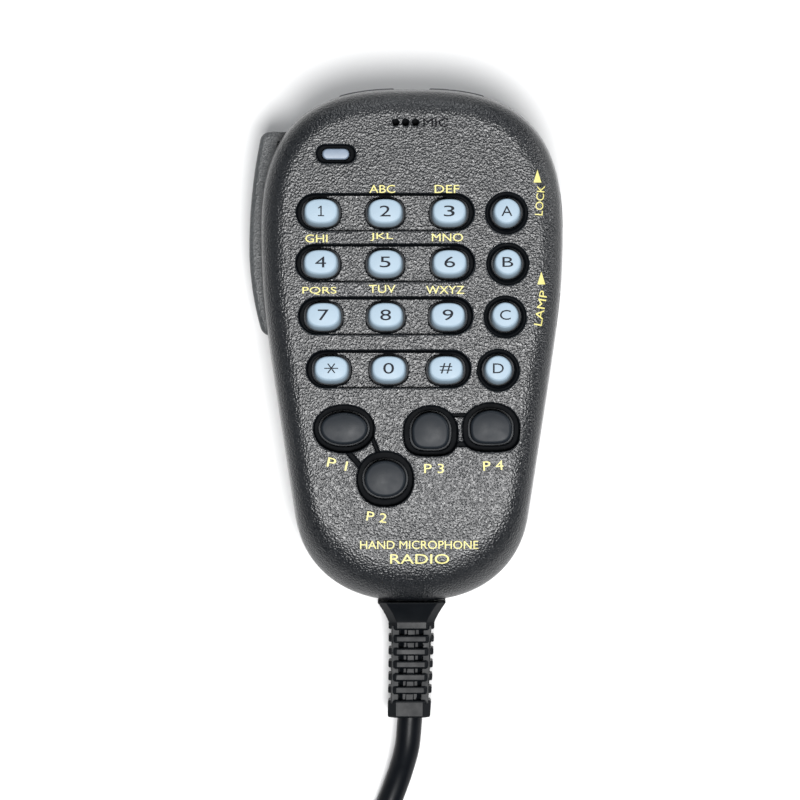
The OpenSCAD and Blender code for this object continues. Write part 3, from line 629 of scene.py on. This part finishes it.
def side_frame(p, k):
    """Point in the frame of a slide switch: out of the wall, up along it, and z."""
    y0 = SLIDE_Y[k]
    lean = math.atan((half_width(y0 + 2) - half_width(y0 - 2)) / 4)
    x, y = p[:, 0] - (half_width(y0) - 0.5), p[:, 1] - y0
    c, s = math.cos(lean), math.sin(lean)
    return np.stack([c * x - s * y, s * x + c * y, p[:, 2] - SLIDE_Z], 1)


def front_field(p):
    x, y, z = p.T
    skin = front_skin(p)
    f = cut(skin, np.maximum(skin + 2, z - 24), 0.2)
    f = meet(f, PARTING - z, 0.22)
    for at, size, foot in zip(MEMORY_AT, MEMORY_MOAT, MEMORY_FOOT):
        cup = oval_2d(x - at[0], y - at[1], (size[0] + 2, size[1] + 2), MEMORY_POWER, foot)
        f = join(f, np.maximum(cup, slab(z, MOAT_FLOOR - 1, MOAT_FLOOR + 0.3)))
    for at in CASE_POSTS:
        f = join(f, np.maximum(rod(p, at, 3, 9.3, 40), skin + 1.5), 0.3)
    for at in BOARD_POSTS:
        f = join(f, np.maximum(rod(p, at, 2.2, 20, 40), skin + 1.5), 0.3)
    for r in range(4):
        draft = np.clip((z - 25.4) / 1.6, 0, 1)
        wall = slot_2d(x - ROW_X[r], y - ROW_Y[r] - 0.3 * draft, (2 * ROW_PITCH[r] + 9.8, 7.3)) - 0.2 * draft
        f = cut(f, meet(wall * 0.95, 25.4 - z, 0.2), 0.25)
        for c in (-1, 0, 1):
            hole = (KEY_SIZE[0] + 2 * GAP, KEY_SIZE[1] + 2 * GAP)
            f = cut(f, oval_2d(x - ROW_X[r] - c * ROW_PITCH[r], y - ROW_Y[r], hole), 0.15)
        far = np.hypot(x - LETTER_X[r], y - ROW_Y[r])
        f = cut(f, meet(far - 4.25, 26.1 - z, 0.2), 0.25)
        f = cut(f, meet(far - 3.6, 25.4 - z, 0.2), 0.25)
        f = cut(f, far - 2.95 - GAP, 0.1)
    for at, size, key, foot in zip(MEMORY_AT, MEMORY_MOAT, MEMORY_KEY, MEMORY_FOOT):
        moat = oval_2d(x - at[0], y - at[1], size, MEMORY_POWER, foot)
        f = cut(f, meet(moat, MOAT_FLOOR - z, 0.3), 0.35)
        hole = (key[0] + 2 * GAP, key[1] + 2 * GAP)
        f = cut(f, oval_2d(x - at[0], y - at[1], hole, MEMORY_POWER, foot), 0.15)
    for at, turn, length, width in LINKS:
        c, s = math.cos(math.radians(turn)), math.sin(math.radians(turn))
        along, across = c * (x - at[0]) + s * (y - at[1]), c * (y - at[1]) - s * (x - at[0])
        f = cut(f, meet(slot_2d(along, across, (length, width)), 25.9 - z, 0.15), 0.2)
    f = cut(f, meet(slot_2d(x - LENS_AT[0], y - LENS_AT[1], (7.9, 3.7)), 25.2 - z, 0.4), 0.45)
    f = cut(f, slot_2d(x - LENS_AT[0], y - LENS_AT[1], (5.6, 2.4)), 0.1)
    for at in (-3.3, -1.3, 0.7):
        f = cut(f, meet(np.hypot(x - at, y - 45.4) - 0.65, 22 - z), 0.25)
    for k in (0, 1):
        f = cut(f, block(side_frame(p, k), (-4, -2.35, -2.35), (4, 4.85, 2.35), 0.5), 0.2)
    f = cut(f, relief_hole(p), 0.3)
    for at in CASE_POSTS:
        f = cut(f, rod(p, at, 1.3, 8, 20.3))
    for at in BOARD_POSTS:
        f = cut(f, rod(p, at, 0.9, 19, 23))
    return f


def rear_field(p):
    x, y, z = p.T
    skin = rear_skin(p)
    f = cut(skin, skin + 2, 0.2)
    f = meet(f, z - PARTING, 0.22)
    f = cut(f, block(p, (-40, 1.2, 3.1), (-21.2, 44.6, 14), 0.3), 0.3)
    f = cut(f, block(p, (-27.1, -1.5, 3.2), (-21.4, 1.5, 14)))
    f = cut(f, rod(p, PIVOT, 2.8, 3.2, 14))
    inside = rear_skin(p) + 1
    for at in CASE_POSTS:
        f = join(f, np.maximum(rod(p, at, 3.75, 1.9, 9.2), inside), 0.3)
    f = join(f, rod(p, HANGER_AT, 4.6, 1, 9), 0.3)
    f = join(f, rod(p, PIVOT, 2.6, 1.9, 3.3))
    for low, high in (((-27.4, -5.5, 2), (-21.5, -4.2, 12.4)), ((-26.2, -5.5, 2), (-21.5, -4.2, 14)),
                      ((-26.2, -5.5, 12.35), (-21.5, 1.0, 14)), ((-19.4, 5, 1), (-18, 15, 10.5)),
                      ((-10, -48.6, 3), (-8.4, -42, 12)), ((8.4, -48.6, 3), (10, -42, 12))):
        f = join(f, np.maximum(block(p, low, high, 0.1), inside))
    for s in (-1, 1):
        f = cut(f, block(p, (s * 9.25 - 6.05, 45, 5.7), (s * 9.25 + 6.05, 60, 11.3), 0.4), 0.3)
    f = cut(f, relief_hole(p), 0.3)
    for at in CASE_POSTS:
        f = cut(f, rod(p, at, 2.9, -1, 6.4), 0.3)
        f = cut(f, rod(p, at, 1.5, -1, 20))
    f = cut(f, rod(p, HANGER_AT, 1.75, -1, 8))
    f = cut(f, rod(p, PIVOT, 1.0, 2.4, 20))
    return cut(f, block(p, (-18, -24, -1), (18, -2, 0.4), 0.3), 0.15)


def in_recess(middles, facing):
    """Faces sunk more than 0.3 mm under the front's skin, which get the near-black finish as painted shade:
    recess walls, moat floors and the narrow rings round the keys. The row floors between the keys keep the
    case finish.
    """
    x, y, z = middles.T
    deep = front_skin(middles) < -0.3
    between_keys = np.zeros(len(x), bool)
    for r in range(4):
        in_row = (facing[:, 2] > 0.8) & (z > 25.2) & (np.abs(x - ROW_X[r]) < ROW_PITCH[r])
        in_row &= np.abs(y - ROW_Y[r]) < 3.5
        off = np.abs(x - ROW_X[r])
        off = np.minimum(off, np.abs(off - ROW_PITCH[r]))
        between_keys |= in_row & (oval_2d(off, y - ROW_Y[r], KEY_SIZE) > GAP + 0.2)
    return deep & ~between_keys


# The front shell's deep faces take the near-black finish as painted shade.
carve("front_shell", front_field, (-33.5, -54.5, 8.2), (33.5, 54.5, 29), 0.3, [CASE, BLACK_AND_SHADE], "case",
      ["front_case"], 0.5, in_recess)
carve("rear_shell", rear_field, (-33.5, -54.5, -1.2), (33.5, 54.5, 15.2), 0.4, [REAR], "case",
      ["rear_case"], 0.5)

# ---------------------------------------------------------------- talk bar, step buttons and sliders


TALK_X = -33.35
TALK_MID_Y = 20
TALK_ENDS = (1.9, 43.8)
TALK_CURVE = (0.0085, 0.0046)


def talk_edge(y):
    """Outer edge of the talk bar, which curves more below its middle than above it."""
    return TALK_X + np.where(y > TALK_MID_Y, TALK_CURVE[1], TALK_CURVE[0]) * (y - TALK_MID_Y) ** 2


def talk_field(p):
    """The talk bar: grip, hub on its pivot, lip, finger for the switch, and top leg."""
    x, y, z = p.T
    lean = 2 * np.where(y > TALK_MID_Y, TALK_CURVE[1], TALK_CURVE[0]) * (y - TALK_MID_Y)
    outer = (talk_edge(y) - x) / np.hypot(1, lean)
    inner = np.where((y > 6) & (y < 30), 26.7, 27.6)
    f = meet(outer, slab(y, *TALK_ENDS), 1.6)
    f = meet(f, slab(z, *TALK_Z), 1.1)
    f = np.maximum(f, x + inner)
    hub = rod(p, PIVOT, 2.5, *TALK_Z)
    web = block(p, (-26.7, PIVOT[1], TALK_Z[0]), (-21.9, 3.2, TALK_Z[1]), 0.3)
    f = join(join(f, web, 0.4), hub)
    f = join(f, block(p, (-28.4, 1.9, 3.6), (-25.4, 6.2, 12.1), 0.3), 0.3)
    f = join(f, block(p, (-27.8, 14, 11.2), (-26.7, 30, 14.4), 0.2))
    f = join(f, block(p, (-27.8, 26, 11.2), (-26.2, 30, 16.6), 0.2))
    f = join(f, block(p, (-28.9, 41.6, TALK_Z[0]), (-24.6, TALK_ENDS[1], TALK_Z[1]), 0.3), 0.3)
    f = cut(f, np.hypot(x - PIVOT[0], y - PIVOT[1]) - 1.05)
    pocket = np.maximum(np.hypot(y - SPRING_Y, z - SPRING_Z) - 2.8, -28.2 - x)
    return cut(f, pocket)


carve("talk_grip", talk_field, (-35, -5.5, 2.5), (-20.5, 45.5, 18), 0.3, [TALK], "talk_bar",
      ["talk_bar"], 0.6)


SPRING_ENDS = (-27.9, -19.75)
SPRING_R, SPRING_WIRE = 2.0, 0.25
SPRING_TURNS, SPRING_STEPS, WIRE_SIDES = 6, 144, 8


def coil_spring():
    """The talk bar's return spring, drawn as a fixed coil."""
    around = np.linspace(0, 2 * math.pi, WIRE_SIDES, endpoint=False)
    radius = SPRING_R + SPRING_WIRE * np.cos(around)
    end = 2 * math.pi * SPRING_TURNS
    points, faces = [], [list(range(WIRE_SIDES))[::-1]]
    for a in np.linspace(0, end, SPRING_STEPS + 1):
        along = SPRING_ENDS[0] + (SPRING_ENDS[1] - SPRING_ENDS[0]) * a / end + SPRING_WIRE * np.sin(around)
        y, z = SPRING_Y + radius * math.cos(a), SPRING_Z + radius * math.sin(a)
        points.append(np.column_stack([along, y, z]))
    for i in range(SPRING_STEPS):
        start = WIRE_SIDES * i
        for j in range(WIRE_SIDES):
            k = (j + 1) % WIRE_SIDES
            faces.append([start + j, start + k, start + WIRE_SIDES + k, start + WIRE_SIDES + j])
    faces.append(list(range(WIRE_SIDES * SPRING_STEPS, WIRE_SIDES * (SPRING_STEPS + 1))))
    coil = add_piece("return_spring", stand(np.vstack(points)), faces, [SPRING], "case",
                     ["talk_spring"], sharp=60)
    anchor = stand([SPRING_ENDS[1], SPRING_Y, SPRING_Z])[0].tolist()
    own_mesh(coil)


coil_spring()


def step_field(side):
    def field(p):
        q = p * np.array([side, 1, 1])
        x, y, z = q.T
        cap = meet(meet(y - top_edge(x) - 0.3, slab(x, 3.5, 15), 0.5), slab(z, 6, 11), 0.5)
        cap = np.maximum(cap, 47.2 - y)
        f = join(cap, block(q, (2.95, 46.5, 5.2), (15.55, 47.7, 11.8), 0.1))
        f = join(f, np.maximum(np.hypot(x - 9.25, z - 8.5) - 1.2, slab(y, 45.95, 47)))
        bar = block(q, (7.7, 50, 8.2), (10.8, 60, 8.8))
        other = block(q, (8.95, 50, 6.95), (9.55, 60, 10.05)) if side > 0 else bar
        dent = np.maximum(np.minimum(bar, other), top_edge(x) + 0.05 - y)
        return cut(f, dent, 0.05)
    return field


for name, side in (("up_button", 1), ("down_button", -1)):
    low = (2 if side > 0 else -16.5, 45, 4.3)
    high = (16.5 if side > 0 else -2, 54.5, 12.7)
    carve(name + "_cap", step_field(side), low, high, 0.2, [CONTROL], name, [name], 0.6)


def slider_field(k):
    def field(p):
        q = side_frame(p, k)
        knob_piece = block(q, (-2.9, -2, -2), (0.1, 2, 2), 0.25)
        for at in (-1.2, -0.4, 0.4, 1.2):
            groove = np.hypot(q[:, 0] - 0.25, q[:, 1] - at) - 0.3
            knob_piece = cut(knob_piece, groove, 0.05)
        f = join(knob_piece, block(q, (-3.3, -4.8, -2.8), (-2.75, 5, 2.8), 0.1))
        return join(f, block(q, (-5, -0.75, -0.75), (-2.9, 0.75, 0.75), 0.1))
    return field


for k, name in enumerate(("lock_slider", "lamp_slider")):
    y0 = SLIDE_Y[k]
    x0 = float(half_width(y0))
    low, high = (x0 - 7, y0 - 6, 11.5), (x0 + 1, y0 + 6.5, 19.5)
    carve(name + "_knob", slider_field(k), low, high, 0.16, [CONTROL], name, [name], 0.6)

# ---------------------------------------------------------------- strain relief

RIB_PITCH = 2.64
RIB_WIDTH = 1.45


def bar_at(u, w, t, at):
    """Upright bar across the grooves."""
    return np.maximum(np.maximum(np.abs(u - at) - 0.8, np.abs(w) - 3.9), slab(t, 5, 21))


def relief_field(p):
    x, y, z = p.T
    t = -HALF_LEN - y
    bend = -0.57 * np.clip(t / 24, 0, 1) ** 1.6
    slim = 1 - 0.085 * np.clip(t / 24, 0, 1)
    u, w = (x - bend) / slim, (z - RELIEF_Z) / slim
    flare = 2.3 * (1 - np.clip(t / 4.4, 0, 1)) ** 1.25

    def bar(half_x, half_z, low, high, corner, r):
        qx, qz = np.abs(u) - half_x + corner, np.abs(w) - half_z + corner
        side = np.hypot(np.maximum(qx, 0), np.maximum(qz, 0))
        side += np.minimum(np.maximum(qx, qz), 0) - corner
        side = np.maximum(side, (np.abs(u) - half_x + np.abs(w) - half_z + 1.75) / math.sqrt(2))
        return meet(side, slab(t, low, high), r)

    f = bar(4.8, 4.5, -3.1, 5.8, 1.0, 0.35)
    f = join(f, bar(6.2, 5.2, -4.3, -3.0, 1.0, 0.2))
    f = join(f, bar(4.8 + flare, 4.5 + flare, 0, 4.5, 1.2, 0.1) * 0.8)
    for i in range(1, 6):
        end = 5.8 + RIB_PITCH * i
        f = join(f, bar(4.8, 4.5, end - RIB_WIDTH, end, 1.0, 0.3))
    f = join(f, bar(4.8, 4.5, 20.4, 24, 1.0, 0.45))
    f = join(f, bar(3.3, 3.2, 5, 21, 0.6, 0.1), 0.15)
    for at in (-3.3, 0, 3.3):
        f = join(f, bar_at(u, w, t, at), 0.15)
    f = join(f, np.maximum(np.maximum(np.abs(u) - 4.2, np.abs(w) - 0.8), slab(t, 5, 21)), 0.15)
    return cut(f, np.hypot(x - bend, z - RELIEF_Z) - 2.52, 0.1)


carve("relief_boot", relief_field, (-8.5, -78, 3), (8.5, -47, 19), 0.2, [RELIEF], "case",
      ["strain_relief"], 0.6)

# ---------------------------------------------------------------- keys

RING_POINTS = 56
SKIRT_RINGS = 4
KEY_DOME = 0.14
STEM_FOOT = 21.0


def ring(size, grow, power, foot):
    """Points round a superellipse that is a little larger than a size."""
    turn = np.linspace(0, 2 * math.pi, RING_POINTS, endpoint=False)
    c, s = np.cos(turn), np.sin(turn)
    e = 2 / np.where(s < 0, foot, power)
    return np.stack([(size[0] / 2 + grow) * np.sign(c) * np.abs(c) ** e,
                     (size[1] / 2 + grow) * np.sign(s) * np.abs(s) ** e], 1)


def key_shape(size, top, edge, dome, power, foot, flange_top, stem, lean):
    """Rings of a key from its plunger up to its domed top, which is set back towards the top end."""
    stations = [(-stem, STEM_FOOT), (-stem, flange_top - 1), (0.7, flange_top - 1), (0.7, flange_top),
                (0, flange_top)]
    side_top = top - dome - edge
    stations += [(0, flange_top + 0.3), (-0.02, side_top)]
    stations += [(-0.02 - edge * (1 - math.cos(a)), side_top + edge * math.sin(a))
                 for a in np.radians((15, 30, 45, 60, 75, 90))]
    inner = -0.02 - edge
    points, faces = [], []
    for grow, z in stations:
        back = lean * smoothstep((z - side_top + 1.2) / (top - side_top + 1.2))
        r = ring(size, grow - back / 2, power, foot) + np.array([0, back / 2])
        points.append(np.column_stack([r, np.full(len(r), z)]))
    for k in (0.8, 0.55, 0.28):
        r = ring(size, inner - lean / 2, power, foot) * k + np.array([0, lean / 2])
        points.append(np.column_stack([r, np.full(len(r), top - dome * k * k)]))
    n, m = len(points[0]), len(points)
    faces.append(tuple(range(n - 1, -1, -1)))
    for j in range(m - 1):
        for i in range(n):
            a, b = j * n + i, j * n + (i + 1) % n
            faces.append((a, b, b + n, a + n))
    faces += [((m - 1) * n + i, (m - 1) * n + (i + 1) % n, m * n) for i in range(n)]
    points.append(np.array([[0, lean / 2, top]]))
    return np.concatenate(points), faces


def closed_line(points):
    """Flat curve through the points, to be filled like a letter."""
    curve = bpy.data.curves.new("outline", "CURVE")
    curve.dimensions, curve.fill_mode = "2D", "BOTH"
    spline = curve.splines.new("POLY")
    spline.points.add(len(points) - 1)
    spline.points.foreach_set("co", [v for x, y in points for v in (x, y, 0, 1)])
    spline.use_cyclic_u = True
    return curve


def letter_curve(text):
    curve = bpy.data.curves.new("letters", "FONT")
    curve.body, curve.align_x, curve.resolution_u = text, "CENTER", 4
    return curve


def figure_one():
    return closed_line([(-0.30, 0), (0.34, 0), (0.34, 0.10), (0.09, 0.10), (0.09, 1), (-0.03, 1),
                        (-0.30, 0.80), (-0.25, 0.71), (-0.05, 0.85), (-0.05, 0.10), (-0.30, 0.10)])


def star_mark(arms=6, half=0.045):
    out = []
    for k in range(arms):
        a, b = 2 * math.pi * k / arms, 2 * math.pi * (k + 0.5) / arms
        c, s, near = math.cos(a), math.sin(a), half / math.sin(math.pi / arms)
        out += [(0.5 * c + half * s, 0.5 * s - half * c), (0.5 * c - half * s, 0.5 * s + half * c),
                (near * math.cos(b), near * math.sin(b))]
    return closed_line(out)


def arrow_head():
    return closed_line([(-0.5, -0.5), (0.5, -0.5), (0, 0.5)])


def lettering(curve, height, width):
    """A filled mark centred on the origin: points, small faces and which points are on top."""
    curve.extrude = 0.1
    obj = bpy.data.objects.new("letters", curve)
    bpy.context.scene.collection.objects.link(obj)
    mesh = obj.evaluated_get(bpy.context.evaluated_depsgraph_get()).to_mesh()
    grid = bmesh.new()
    grid.from_mesh(mesh)
    bpy.data.objects.remove(obj)
    bmesh.ops.remove_doubles(grid, verts=grid.verts, dist=1e-5)
    low = np.min([v.co for v in grid.verts], 0)
    high = np.max([v.co for v in grid.verts], 0)
    scale = np.array([width / (high[0] - low[0]), height / (high[1] - low[1]), 1])
    middle = np.array([(low[0] + high[0]) / 2, (low[1] + high[1]) / 2, 0])
    for v in grid.verts:
        v.co = (np.array(v.co) - middle) * scale
    for _ in range(3):
        long = [e for e in grid.edges if e.calc_length() > 0.45]
        if long:
            bmesh.ops.subdivide_edges(grid, edges=long, cuts=1)
        bmesh.ops.triangulate(grid, faces=grid.faces)
    points = np.array([v.co for v in grid.verts])
    faces = [tuple(v.index for v in f.verts) for f in grid.faces]
    grid.free()
    return points[:, :2], faces, points[:, 2] > 0


def turn_2d(p, degrees):
    c, s = math.cos(math.radians(degrees)), math.sin(math.radians(degrees))
    return np.stack([c * p[:, 0] - s * p[:, 1], s * p[:, 0] + c * p[:, 1]], 1)


def number_key(name, mark, at, size, power=2.5, mark_size=(2.2, 2.2)):
    """A light key with its mark on top; its stem and flange take the dark memory-key rubber as painted shade,
    so the gap round the key looks black.
    """
    points, faces = key_shape(size, KEY_TOP, 0.36, KEY_DOME, power, power, 23.9, 1.2, 0.9)
    curve = {"1": figure_one, "*": star_mark}[mark]() if mark in "1*" else letter_curve(mark)
    flat, letters, on_top = lettering(curve, mark_size[1], mark_size[0])
    away = ((np.abs(flat[:, 0]) / (size[0] / 2 - 0.85)) ** power
            + (np.abs(flat[:, 1]) / (size[1] / 2 - 0.85)) ** power) ** (2 / power)
    flat = flat + np.array([0, 0.45])
    z = KEY_TOP - KEY_DOME * away + np.where(on_top, 0.03, -0.05)
    start, cap_faces = len(points), len(faces)
    points = np.concatenate([points, np.column_stack([flat, z])])
    faces += [tuple(start + i for i in f) for f in letters]
    points[:, :2] += at
    # Stem and flange faces in the dark rubber: painted shade in the gap round the key.
    skirt = 1 + SKIRT_RINGS * RING_POINTS
    finish = [2] * skirt + [0] * (cap_faces - skirt) + [1] * len(letters)
    return add_piece("cap_" + name, stand(points), faces, [KEY, INK, MEMORY], name, [name],
                     sharp=40, face_finish=finish)


NUMBERS = [(f"key_{n}", str(n)) for n in range(1, 10)]
NUMBERS += [("key_star", "*"), ("key_0", "0"), ("key_hash", "#")]
for i, (name, mark) in enumerate(NUMBERS):
    r, c = divmod(i, 3)
    mark_size = {"1": (1.25, 2.1), "*": (2.8, 2.0), "#": (2.5, 2.1)}.get(mark, (2.2, 2.2))
    number_key(name, mark, (ROW_X[r] + (c - 1) * ROW_PITCH[r], ROW_Y[r]), KEY_SIZE, mark_size=mark_size)
for r, mark in enumerate("ABCD"):
    number_key("key_" + mark.lower(), mark, (LETTER_X[r], ROW_Y[r]), (5.9, 5.9), 2.0, (2.2, 2.0))
for i, (at, size, foot) in enumerate(zip(MEMORY_AT, MEMORY_KEY, MEMORY_FOOT)):
    points, faces = key_shape(size, MEMORY_TOP, 0.55, 0.25, MEMORY_POWER, foot, 23.1, 1.5, 0.3)
    points[:, :2] += at
    name = f"p{i + 1}_key"
    add_piece("cap_" + name, stand(points), faces, [MEMORY], name, [name], sharp=50)

# ---------------------------------------------------------------- printed legends, embossed word and lens

LEGENDS = (
    ("ABC", -6.0, 32.0, 5.2, 1.6, 0), ("DEF", 7.1, 32.0, 5.0, 1.6, 0), ("GHI", -19.3, 22.0, 4.5, 1.6, 0),
    ("JKL", -6.1, 22.3, 4.6, 1.6, 0), ("MNO", 7.2, 22.2, 6.3, 1.6, 0), ("PQRS", -18.7, 11.4, 6.9, 1.6, 0),
    ("TUV", -6.0, 11.8, 5.4, 1.6, 0), ("WXYZ", 6.75, 11.6, 7.7, 1.6, 0), ("P 1", -15.1, -23.7, 4.1, 1.9, -13),
    ("P 2", -7.1, -34.5, 4.1, 1.9, -8), ("P 3", 4.5, -24.6, 4.0, 1.9, 0), ("P 4", 16.5, -24.0, 4.1, 1.9, 3),
    ("LOCK", 25.9, 29.7, 6.0, 1.6, 85), ("LAMP", 26.1, 7.9, 7.1, 1.6, 80),
    ("", 25.4, 34.6, 1.6, 2.6, 0), ("", 26.2, 14.0, 1.6, 2.6, 0),
    ("HAND MICROPHONE", 1.5, -40.2, 24.0, 1.7, 0), ("RADIO", 1.6, -43.1, 12.0, 2.0, 0),
)


def on_face(x, y, lift):
    """Height of the front's skin over each point, with a lift."""
    z = face_z(x, y)
    for _ in range(6):
        p = np.stack([x, y, z], 1)
        z = z - front_skin(p)
    return z + lift


prints, print_faces, total = [], [], 0
for text, x, y, width, height, turn in LEGENDS:
    curve = letter_curve(text) if text else arrow_head()
    flat, faces, on_top = lettering(curve, height, width)
    flat = turn_2d(flat, turn) + np.array([x, y])
    lift = np.where(on_top, 0.06, -0.1)
    prints.append(np.column_stack([flat, on_face(flat[:, 0], flat[:, 1], lift)]))
    print_faces += [tuple(total + i for i in f) for f in faces]
    total += len(flat)
add_piece("legends", stand(np.concatenate(prints)), print_faces, [PAINT], "case", sharp=30)

flat, faces, on_top = lettering(letter_curve("MIC"), 1.7, 5.0)
flat = flat + np.array([4.8, 45.4])
points = np.column_stack([flat, on_face(flat[:, 0], flat[:, 1], np.where(on_top, 0.14, -0.1))])
add_piece("mic_word", stand(points), faces, [BLACK_AND_SHADE], "case", sharp=30)


def lens_field(p):
    x, y, z = p.T
    outline = slot_2d(x - LENS_AT[0], y - LENS_AT[1], (5.4, 2.2))
    f = meet(outline, z - 25.95 + 0.06 * (y - LENS_AT[1]) ** 2, 0.35)
    f = np.maximum(f, 22.9 - z)
    foot = slot_2d(x - LENS_AT[0], y - LENS_AT[1], (7.0, 3.8))
    return join(f, meet(foot, slab(z, 22.8, 23.95), 0.1))


carve("indicator_cap", lens_field, (-20, 36, 22), (-11, 42, 27), 0.14, [LENS], "case",
      ["indicator_lens"], 0.5)

# ---------------------------------------------------------------- cord and plug, in the row frame

CORD_D = 5.1
CURL_D = 14.1
FOLD_R = 22.0
FOLD_Y = -190.0
RUN_START = (-108.0, -112.0)
CURL_Z = 7.5
CORD_Z = 2.6
RUN_PITCH, FOLD_PITCH = 5.15, 6.0
TURN_STEPS = 18
OPENING = 6.5
PLUG_AT = np.array([0, -136, 3.3])
PLUG_TURN = -90
exit_point = stand([0, -76.5, RELIEF_Z])[0] * 1000
exit_run = stand([0, -77.5, RELIEF_Z])[0] * 1000 - exit_point


def smooth_line(points, step=1.5):
    """Even points along a smooth curve through the given ones."""
    p = np.asarray(points, float)
    p = np.vstack([2 * p[0] - p[1], p, 2 * p[-1] - p[-2]])
    out = []
    for i in range(1, len(p) - 2):
        a, b, c, d = p[i - 1:i + 3]
        n = max(2, int(np.linalg.norm(c - b) / step))
        for t in np.linspace(0, 1, n, endpoint=False):
            out.append(0.5 * (2 * b + (c - a) * t + (2 * a - 5 * b + 4 * c - d) * t ** 2
                              + (3 * b - a - 3 * c + d) * t ** 3))
    out.append(p[-2])
    return np.array(out)


def fold_line(s):
    """Point and outward direction at a distance along the two runs and the fold between them."""
    first, bend = RUN_START[0] - FOLD_Y, math.pi * FOLD_R
    if s < first:
        return np.array([-FOLD_R, RUN_START[0] - s]), np.array([-1.0, 0])
    if s < first + bend:
        a = math.pi + (s - first) / FOLD_R
        out = np.array([math.cos(a), math.sin(a)])
        return np.array([0, FOLD_Y]) + FOLD_R * out, out
    return np.array([FOLD_R, FOLD_Y + s - first - bend]), np.array([1.0, 0])


def helix():
    """The curly stretch, opening out of a straight cord and closing into one at its ends."""
    first, bend = RUN_START[0] - FOLD_Y, math.pi * FOLD_R
    total = first + bend + RUN_START[1] - FOLD_Y
    out, turns, s, step = [], -0.25, 0.0, RUN_PITCH / TURN_STEPS
    while s < total:
        ease = smoothstep(min(s, total - s) / OPENING)
        radius = ease * (CURL_D - CORD_D) / 2 * 0.985
        a = 2 * math.pi * turns
        c, side = fold_line(s)
        c = c + side * radius * math.cos(a)
        out.append((c[0], c[1], CORD_Z + (CURL_Z - CORD_Z) * ease + radius * math.sin(a)))
        bent = smoothstep((s - first + 6) / 12) * smoothstep((first + bend + 6 - s) / 12)
        s += step
        turns += step / (RUN_PITCH + (FOLD_PITCH - RUN_PITCH) * bent)
    return np.array(out)


lead = [exit_point - 8 * exit_run, exit_point - 3 * exit_run, exit_point + np.array([-0.35, 0, 0]),
        (0.2, -71, 7.2), (-1, -75.6, 5), (-2.5, -80, 3.6), (-4.6, -85, 2.8), (-8, -90, CORD_Z),
        (-13, -94.5, CORD_Z), (-18, -98.7, CORD_Z), (-21.2, -103, CORD_Z),
        (-FOLD_R, RUN_START[0] + 1.2, CORD_Z), (-FOLD_R, RUN_START[0], CORD_Z)]
tail = [(FOLD_R, RUN_START[1], CORD_Z), (FOLD_R, -107, CORD_Z), (20, -100.4, CORD_Z),
        (14.6, -95.8, CORD_Z), (7.4, -95.8, CORD_Z), (2, -100.4, CORD_Z), (0, -107, CORD_Z),
        (0, -114, CORD_Z), (0, -124, 2.8), (0, -133, 3.3), PLUG_AT]
route = np.vstack([smooth_line(lead)[:-1], helix(), smooth_line(tail)[1:]])

cord_curve = bpy.data.curves.new("cord", "CURVE")
cord_curve.dimensions = "3D"
cord_curve.bevel_depth = CORD_D / 2000
cord_curve.bevel_resolution = 4
cord_curve.use_fill_caps = True
cord_curve.resolution_u = 1
spline = cord_curve.splines.new("POLY")
spline.points.add(len(route) - 1)
spline.points.foreach_set("co", np.column_stack([route / 1000, np.ones(len(route))]).ravel())
cord_curve.materials.append(CORD)
cord_piece = bpy.data.objects.new("curly_cord", cord_curve)
bpy.context.scene.collection.objects.link(cord_piece)
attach(cord_piece, "case")
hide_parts("cord_lead", "cord_curl", "cord_tail")


def plug_field(q):
    """The plug in its own frame, with its nose along x and its latch on top."""
    x, y, z = q.T
    f = block(q, (0, -4.825, -3.3), (12.4, 4.825, 3.3), 0.35)
    f = cut(f, block(q, (-1, -2.9, -1.9), (0.9, 2.9, 1.9), 0.5), 0.2)
    for i in range(6):
        at = (i - 2.5) * 1.02
        f = cut(f, block(q, (6.4, at - 0.3, -4.3), (13.4, at + 0.3, 0.1)), 0.03)
    f = cut(f, block(q, (3.2, -2.6, -3.6), (5.0, 2.6, -1.7), 0.3), 0.2)
    rise = 3.45 + 0.21 * (12.0 - x)
    tab = np.maximum(np.maximum(np.abs(z - rise) - 0.45, slab(x, 0.4, 12.4)), np.abs(y) - 3.0)
    f = join(f, tab, 0.1)
    return join(f, block(q, (10.2, -3, 2.2), (12.4, 3, 3.6), 0.2), 0.1)


def plug_piece():
    cell = 0.17
    points, faces = contour(plug_field, (-1, -6, -4.5), (13.6, 6, 7), cell)
    points = settle(plug_field, points, cell / 2)
    normals = unit(slope(plug_field, points))
    c, s = math.cos(math.radians(PLUG_TURN)), math.sin(math.radians(PLUG_TURN))
    spin = np.array([[c, s, 0], [-s, c, 0], [0, 0, 1]])
    return add_piece("plug_shell", (points @ spin + PLUG_AT) / 1000, faces, [CLEAR], "case",
                     ["plug_body"], normals @ spin)


plug = plug_piece()

[[list(corner) for corner in box] for box in (cad_box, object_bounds())]
